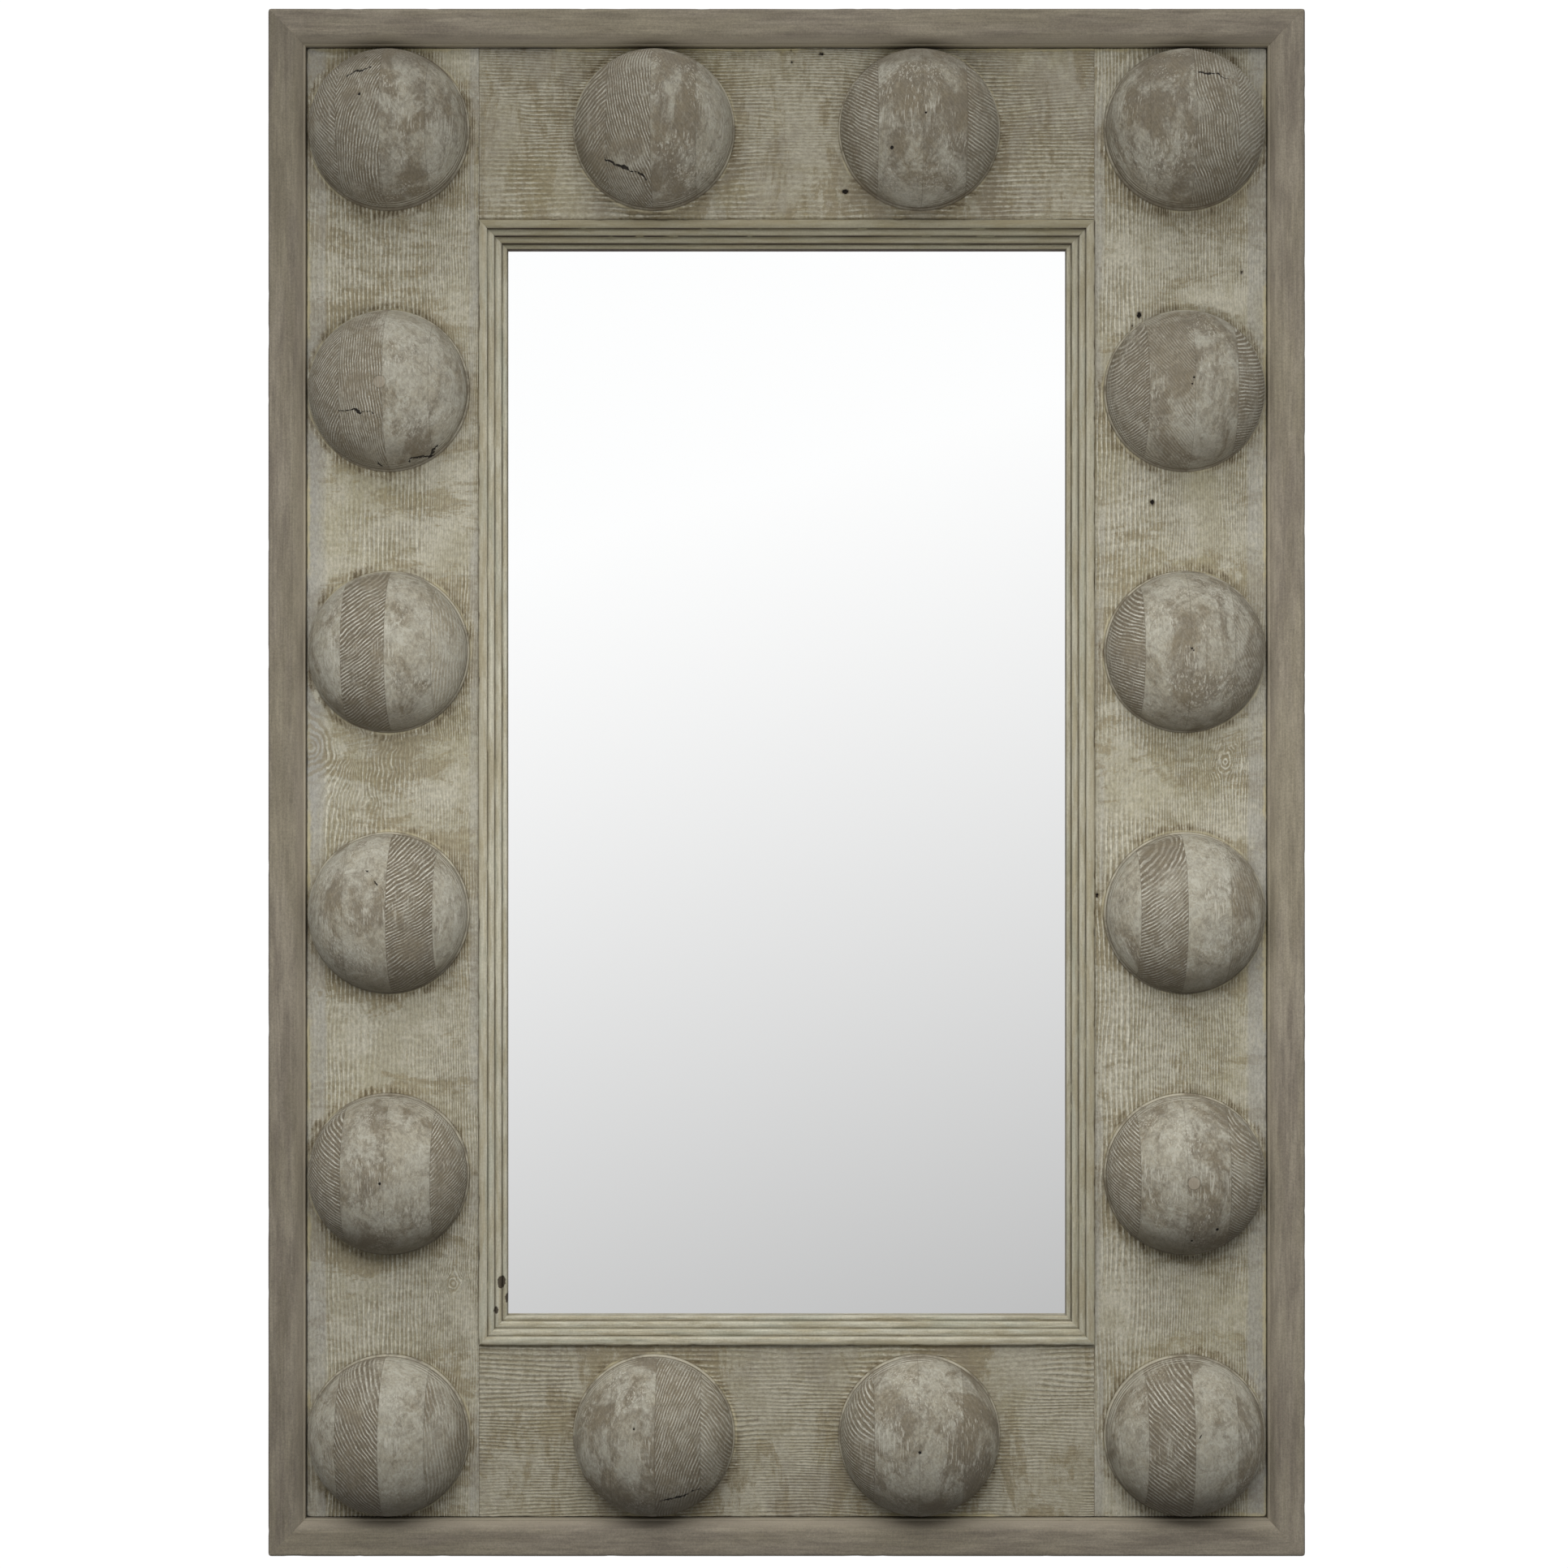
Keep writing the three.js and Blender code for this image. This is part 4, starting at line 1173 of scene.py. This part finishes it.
def reed_section():
    """The reeded moulding's section: four reeds that step down to the glass."""
    points = [(0, BOARD_BACK)]
    inner, crown = 0.0, BOARD_FRONT + REED_PROUD
    for width in REED_WIDTHS:
        low, high = (inner, crown - REED_CROWN), (inner + width / 2, crown)
        end = (inner + width, crown - REED_CROWN)
        points += curve_through(low, (inner + width * 0.12, crown), high, 5)
        points += curve_through(high, (inner + width * 0.88, crown), end, 5)
        points.append(end)
        inner += width
        crown -= REED_STEP
    points += [(inner, GLASS_FRONT + SEAT), (GLASS_WALL, GLASS_FRONT + SEAT), (GLASS_WALL, BOARD_BACK)]
    return round_line(points, 1.6)


def end_steps(half, spacing):
    """Distances from a mitre to the middle, closer together near the mitre."""
    near = [0, 0.4, 0.9, 1.5, 2.2, 3.0, 4.0, 5.2, 7.0, 10.0]
    return np.concatenate([near, np.arange(10 + spacing, half, spacing)])


def four_sides(prefix, width, height):
    """Name, length, turn, origin and direction of the four lengths of a mitred frame."""
    return [
        (f"{prefix}_bottom", width, 0.0, (0, -height / 2), False),
        (f"{prefix}_top", width, math.pi, (0, height / 2), False),
        (f"{prefix}_left", height, math.pi / 2, (-width / 2, 0), True),
        (f"{prefix}_right", height, -math.pi / 2, (width / 2, 0), True),
    ]


def swept_places(inward, length, corner, spacing):
    """Places along a length for each point of its section, and how far in each lies."""
    glue = 0.02
    half = length / 2
    reach = half - np.maximum(inward, corner * (1 - 1 / math.sqrt(2))) - glue
    toward_middle = reach - end_steps(half - inward.max() - 4, spacing)[:, None]
    along = np.concatenate([toward_middle, -toward_middle[::-1]])[::-1]
    depth_in = np.tile(inward, (len(along), 1))
    if corner:
        over = np.clip(np.abs(along) - (half - glue - corner), 0, corner)
        depth_in = np.maximum(depth_in, corner - np.sqrt(np.maximum(corner**2 - over**2, 0)))
    return along, depth_in


def mitred_piece(side, section, corner, spacing, sink_of, numbers_of, materials):
    """A section swept to a length with mitred ends, turned into its place on one side of the frame."""
    name, length, turn, origin, along_z = side
    inward, out = section[:, 0], section[:, 1]
    along, depth_in = swept_places(inward, length, corner, spacing)
    out_all = np.tile(out, (len(along), 1))
    tangent_in = np.roll(inward, -1) - np.roll(inward, 1)
    tangent_out = np.roll(out, -1) - np.roll(out, 1)
    size = np.hypot(tangent_in, tangent_out)
    sink = sink_of(along, depth_in, out_all)
    depth_in = depth_in + sink * tangent_out / size
    out_all = out_all - sink * tangent_in / size

    cos, sin = round(math.cos(turn)), round(math.sin(turn))
    x = origin[0] + along * cos + depth_in * sin
    z = origin[1] - along * sin + depth_in * cos
    places = np.stack([x, -out_all, z], -1).reshape(-1, 3)
    rows, columns = along.shape
    faces = grid_faces(rows, columns, closed=True)
    first, last = end_caps(rows, columns)
    faces += [first[::-1], last]
    piece = make_piece(name + "_wood", places, faces, [materials[along_z]])
    smooth_by_angle(piece.data, 40)
    set_numbers(piece.data, **numbers_of(along, depth_in, out_all, x, z))
    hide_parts(name)
    fix_outward(piece)


def outer_length(k, side, materials):
    """One length of the outer moulding, gently uneven, with lines of painted shade and painted highlight at
    its edges.
    """
    place = side[0].split("_")[-1]
    on_top = place == "top"
    foot = MOULDING_FLAT + MOULDING_SLOPE

    def sink_of(along, depth_in, out):
        front = (out > LIP_FRONT - 2).astype(float)
        wave = 0.5 + 0.5 * noise(along, depth_in, 90, 14, 300 + k, 3)
        dents = fade(noise(along, depth_in, 14, 7, 320 + k), 0.75, 1.2)
        return front * (0.22 * wave + 0.35 * dents)

    def numbers_of(along, depth_in, out, x, z):
        front = out > LIP_FRONT - 1.5
        # Painted shade at the slope's foot, mostly on the top length.
        hollow = fade(depth_in, foot - 2, foot + 1) * (1.0 if on_top else 0.25)
        # Painted highlight on the lip's edge, faint on the top length.
        pale = fade(-np.abs(depth_in - MOULDING_FACE + 1.3), -1.4, -0.3) * (0.1 if on_top else 0.9)
        # Painted light on the slope, by side.
        slope = fade(depth_in, MOULDING_FLAT, foot) * SLOPE_LIGHT_BY_SIDE[place]
        # Painted shade on the rounded outer edge, weaker on the top length.
        outside = fade(-depth_in, -1.9, -0.9) * (0.45 if on_top else 1.0)
        outside = outside * fade(out, MOULDING_FRONT - 7, MOULDING_FRONT - 4)
        # Painted light, by side.
        tone = np.full(along.shape, MOULDING_LIGHT_BY_SIDE[place])
        return {"hollow": hollow * front, "pale": pale * front, "slope": slope * front,
                "outside": outside, "tone": tone}

    mitred_piece(side, outer_section(), CORNER_RADIUS, 6.0, sink_of, numbers_of, materials)


def reeded_length(k, side, materials):
    """One length of the reeded moulding, nibbled along its reeds and chipped in one corner."""
    place = side[0].split("_")[-1]

    def sink_of(along, depth_in, out):
        front = ((depth_in > -0.1) & (out > GLASS_FRONT + 2)).astype(float)
        wave = 0.5 + 0.5 * noise(along, depth_in, 60, 5, 400 + k, 3)
        bites = fade(noise(along, depth_in, 11, 4, 420 + k), 0.6, 1.15)
        return front * (0.4 * wave + 0.6 * bites) * fade(-depth_in, -31.5, -29.0)

    def numbers_of(along, depth_in, out, x, z):
        step = np.zeros(along.shape)
        for edge in np.cumsum(REED_WIDTHS):
            step = np.maximum(step, fade(-np.abs(depth_in - edge - 0.1), -0.9, -0.1))
        chips = [np.hypot(x - x0, (z - z0) / tall) - radius for x0, z0, tall, radius in CHIPS]
        # Painted shade, by side.
        dim = np.full(along.shape, REED_SHADE_BY_SIDE[place])
        return {"step": step, "chip": np.min(chips, 0), "outer": fade(-depth_in, -9.5, -5.0), "dim": dim}

    mitred_piece(side, reed_section(), 0.0, 4.0, sink_of, numbers_of, materials)


def mouldings():
    glazed = (moulding_finish("moulding_level", False), moulding_finish("moulding_upright", True))
    for k, side in enumerate(four_sides("moulding", OVERALL_WIDTH, OVERALL_HEIGHT)):
        outer_length(k, side, glazed)
    limed = (reed_finish("reeds_level", False), reed_finish("reeds_upright", True))
    width = 2 * (WINDOW_HALF_WIDTH - SEAT)
    height = 2 * (WINDOW_HALF_HEIGHT - SEAT)
    for k, side in enumerate(four_sides("reeded_moulding", width, height)):
        reeded_length(k, side, limed)


# ---- Hangers and screws ----


def cross_section(wide, narrow, height, turn, x, back, z):
    """Places round a screw's axis, pulled in to the narrow radius between the arms of its cross."""
    places = []
    for k in range(SCREW_AROUND):
        angle = 2 * math.pi * k / SCREW_AROUND
        in_arm = abs(math.cos(2 * (angle - turn))) > 0.75
        reach = wide if in_arm else narrow
        places.append((x + reach * math.cos(angle), -(back - height), z + reach * math.sin(angle)))
    return places


def pan_screw(name, x, back, z, radius, height, turn, material, shank=()):
    """A pan head with a cross recess, its flat underside at the given distance from the wall.

    The shank, where there is one, is rings of its own: (radius, height) each, the tip first.
    """
    round_rings = [*shank, (radius, 0.0), (radius, height * 0.35), (radius * 0.92, height * 0.72),
                   (radius * 0.7, height * 0.93)]
    rings = [(reach, reach, rise) for reach, rise in round_rings]
    rings += [(radius * 0.42, radius * 0.26, height), (radius * 0.36, radius * 0.2, height * 0.35)]
    places = []
    for wide, narrow, rise in rings:
        places += cross_section(wide, narrow, rise, turn, x, back, z)
    faces = grid_faces(len(rings), SCREW_AROUND, closed=True)
    first, last = end_caps(len(rings), SCREW_AROUND)
    faces += [first, last[::-1]]
    piece = make_piece(name, places, faces, [material])
    fix_outward(piece)
    smooth_by_angle(piece.data, 35)
    return piece


def arc(x, z, radius, start, end, steps):
    """Points round part of a circle, with the angles in degrees."""
    angle = np.radians(np.linspace(start, end, steps + 1))
    return np.stack([x + radius * np.cos(angle), z + radius * np.sin(angle)], -1)


def ring_line():
    """The centre line of a D-ring as it hangs, below its hinge line."""
    bar_half = RING_HALF_WIDTH - RING_CORNER
    return np.concatenate([
        arc(bar_half, -RING_CORNER, RING_CORNER, 90, 0, 10),
        arc(0, -(RING_CORNER + RING_SIDE), RING_HALF_WIDTH, 0, -180, 56),
        arc(-bar_half, -RING_CORNER, RING_CORNER, 180, 90, 10),
    ])


def d_ring(side, sign, material):
    """Round wire bent to a D, with a smoother surface than the CAD part."""
    line = ring_line()
    ahead = np.roll(line, -1, 0) - line
    ahead /= np.linalg.norm(ahead, axis=1)[:, None]
    tangent = ahead + np.roll(ahead, 1, 0)
    tangent /= np.linalg.norm(tangent, axis=1)[:, None]
    reach = WIRE_RADIUS / np.sum(tangent * ahead, 1)
    angle = 2 * math.pi * np.arange(WIRE_AROUND) / WIRE_AROUND
    across = reach[:, None] * np.cos(angle)
    x = line[:, :1] + tangent[:, 1:] * across
    z = line[:, 1:] - tangent[:, :1] * across
    y = np.broadcast_to(WIRE_RADIUS * np.sin(angle), x.shape)
    places = np.stack([sign * HANGER_X + x, y - HINGE_DEPTH, HANGER_Z + z], -1).reshape(-1, 3)
    count = len(line)
    faces = np.array(grid_faces(count + 1, WIRE_AROUND, closed=True)) % (count * WIRE_AROUND)
    piece = make_piece(f"d_ring_{side}_wire", places, faces.tolist(), [material], f"ring_{side}")
    fix_outward(piece)
    smooth_by_angle(piece.data, 40)
    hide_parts(f"d_ring_{side}")


def ease_edges(node):
    """Slightly rounded edges on a strap."""
    eased = node.modifiers.new("eased_edges", "BEVEL")
    eased.width = 0.35 * MM
    eased.segments = 2
    eased.limit_method = "ANGLE"
    eased.angle_limit = math.radians(55)


def hangers(material):
    """The D-rings, the straps' eased edges and the screws that hold the straps."""
    shank = ((0.3, -19.8), (2.1, -15.8), (2.1, 0.0))
    back = BOARD_BACK - STRAP_THICKNESS - 2 * SEAT
    for side, sign in (("left", -1), ("right", 1)):
        d_ring(side, sign, material)
        ease_edges(nodes[f"hanger_{side}"])
        for k, drop in enumerate(HANGER_SCREW_DROPS):
            name = f"hanger_screw_{side}_{k + 1}"
            place = (sign * HANGER_X, back, HANGER_Z - drop)
            screw = pan_screw(name + "_turned", *place, *HANGER_SCREW_HEAD, k * 1.1 + sign, material, shank)
            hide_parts(name)


def back_screws(material):
    """Screws along the edge of the backing board, and two behind each dome."""
    edge_x, edge_z = WINDOW_HALF_WIDTH + BACKING_SCREW_SHIFT, WINDOW_HALF_HEIGHT + BACKING_SCREW_SHIFT
    spots = [(x, z) for x in (-240, 0, 240) for z in (-edge_z, edge_z)]
    spots += [(x, z) for z in (-560, -280, 0, 280, 560) for x in (-edge_x, edge_x)]
    for k, (x, z) in enumerate(spots):
        pan_screw(f"backing_screw_{k + 1}", x, BACKING_BACK, z, *BACKING_SCREW_HEAD, k * 0.7, material)
    for k, (place, (x, z)) in enumerate(dome_places().items()):
        for side, shift in (("a", -DOME_SCREW_SHIFT), ("b", DOME_SCREW_SHIFT)):
            off_x, off_z = (0, shift) if place.startswith(("top", "bottom")) else (shift, 0)
            spot = (x + off_x, BOARD_BACK, z + off_z)
            pan_screw(f"dome_{place}_screw_{side}", *spot, *DOME_SCREW_HEAD, k * 0.9 + off_x, material)


# ---- CAD parts that stay ----


def kept_parts(steel):
    """Better materials for the CAD parts that stay."""
    looks = {"mirror_glass": mirror_finish(), "backing_board": panel_finish()}
    looks["hanger_left"] = looks["hanger_right"] = steel
    beech = back_finish("dowel_beech", True, BEECH_DARK, BEECH_LIGHT)
    for name, node in nodes.items():
        look = beech if name.startswith("dowel") else looks.get(name)
        if look is not None:
            node.data.materials.clear()
            node.data.materials.append(look)
            smooth_by_angle(node.data, 40)


# ---- Light, floor and camera, in metres ----


WHITE_LEVEL = 1.05  # bright enough to show as plain white


def studio_world():
    """White to the camera, a soft grey slope in reflections, and even light for the rest."""
    world = bpy.data.worlds.new("studio")
    bpy.context.scene.world = world
    world.use_nodes = True
    world.node_tree.nodes.clear()
    sky = Graph(world.node_tree)
    x, y, z = sky.split(sky.node("ShaderNodeTexCoord").outputs["Generated"])
    path = sky.node("ShaderNodeLightPath")
    glossy = Value(sky, path.outputs["Is Glossy Ray"])
    camera = Value(sky, path.outputs["Is Camera Ray"])
    fall = (z * -3.35 + 0.36 + x).larger(0.0).smaller(1.35).power(1.12)
    seen_in_glass = 1.0 - fall * 0.443
    lighting = z * 0.16 + 0.27 + y.larger(0.0) * 0.5
    level = seen_in_glass * glossy + lighting * (1.0 - glossy)
    level = level * (1.0 - camera) + camera * WHITE_LEVEL
    background = sky.node("ShaderNodeBackground")
    background.inputs["Color"].default_value = (1, 1, 1, 1)
    sky.put(background, "Strength", level)
    sky.put(sky.node("ShaderNodeOutputWorld"), "Surface", background.outputs[0])


def floor_finish(half, back):
    """Pale grey that turns into the white round it toward the floor's edges."""
    look = Finish("pale_floor", roughness=0.9, specular=0.1)
    x, y, _ = look.split(look.where)
    edge = x.size().larger(y * -1.0).fade(1.3, half - 0.02).larger(y.fade(0.0, back - 0.02))
    look.shader.inputs["Emission Color"].default_value = (1, 1, 1, 1)
    look.put(look.shader, "Emission Strength", look.choose(edge, 0.3, WHITE_LEVEL))
    look.colour = [0.86, 0.86, 0.86]
    look.shade(look.cloud(3, 2).fade(0.3, 0.7, 0.985, 1.0) * (1.0 - edge))
    return look.finish()


def studio_floor():
    """A plain pale floor under the hung mirror."""
    half, back, level = 1.9, 0.38, -1.06
    mesh = bpy.data.meshes.new("floor")
    corners = [(-half, -half, level), (half, -half, level), (half, back, level), (-half, back, level)]
    mesh.from_pydata(corners, [], [(0, 1, 2, 3)])
    mesh.materials.append(floor_finish(half, back))
    floor = add_object("floor", mesh)
    floor.visible_glossy = False
    floor.visible_diffuse = False


def add_lamp(name, kind, power):
    """A light that shows neither in the picture nor in the glass."""
    lamp = add_object(name, bpy.data.lights.new(name, kind))
    lamp.data.energy = power
    lamp.visible_camera = False
    lamp.visible_glossy = False
    return lamp


def front_light():
    """A wide soft panel in front of the mirror."""
    lamp = add_lamp("front_soft", "AREA", 7.6)
    lamp.data.shape = "RECTANGLE"
    lamp.data.size, lamp.data.size_y = 1.7, 0.4
    place, target = Vector((0.0, -1.04, 0.09)), Vector((0.0, 0.0, 0.09))
    lamp.location = place
    lamp.rotation_euler = (target - place).to_track_quat("-Z", "Y").to_euler()


def high_light():
    """Even light from high up, softened over a wide patch of sky."""
    elevation, azimuth, spread = 53, -6, 50
    lamp = add_lamp("high_soft", "SUN", 1.32)
    lamp.data.angle = math.radians(spread)
    lamp.rotation_euler = (math.radians(90 - elevation), 0, math.radians(azimuth))


def camera():
    """The photograph's viewpoint, straight in front of the glass."""
    data = bpy.data.cameras.new("camera")
    data.sensor_width = 36.0
    data.lens = 65.03
    data.shift_x = -0.0017
    data.shift_y = -0.0010
    data.dof.use_dof = False
    eye = add_object("camera", data)
    eye.location = (0, -3.387, 0)
    eye.rotation_euler = (math.radians(90), 0, 0)
    bpy.context.scene.camera = eye


# ---- Put together ----

steel = steel_finish()
domes()
boards()
mouldings()
kept_parts(steel)
hangers(steel)
back_screws(steel)
studio_world()
studio_floor()
front_light()
high_light()
camera()
bpy.context.scene.view_settings.view_transform = "Standard"
bpy.context.scene.view_settings.look = "None"
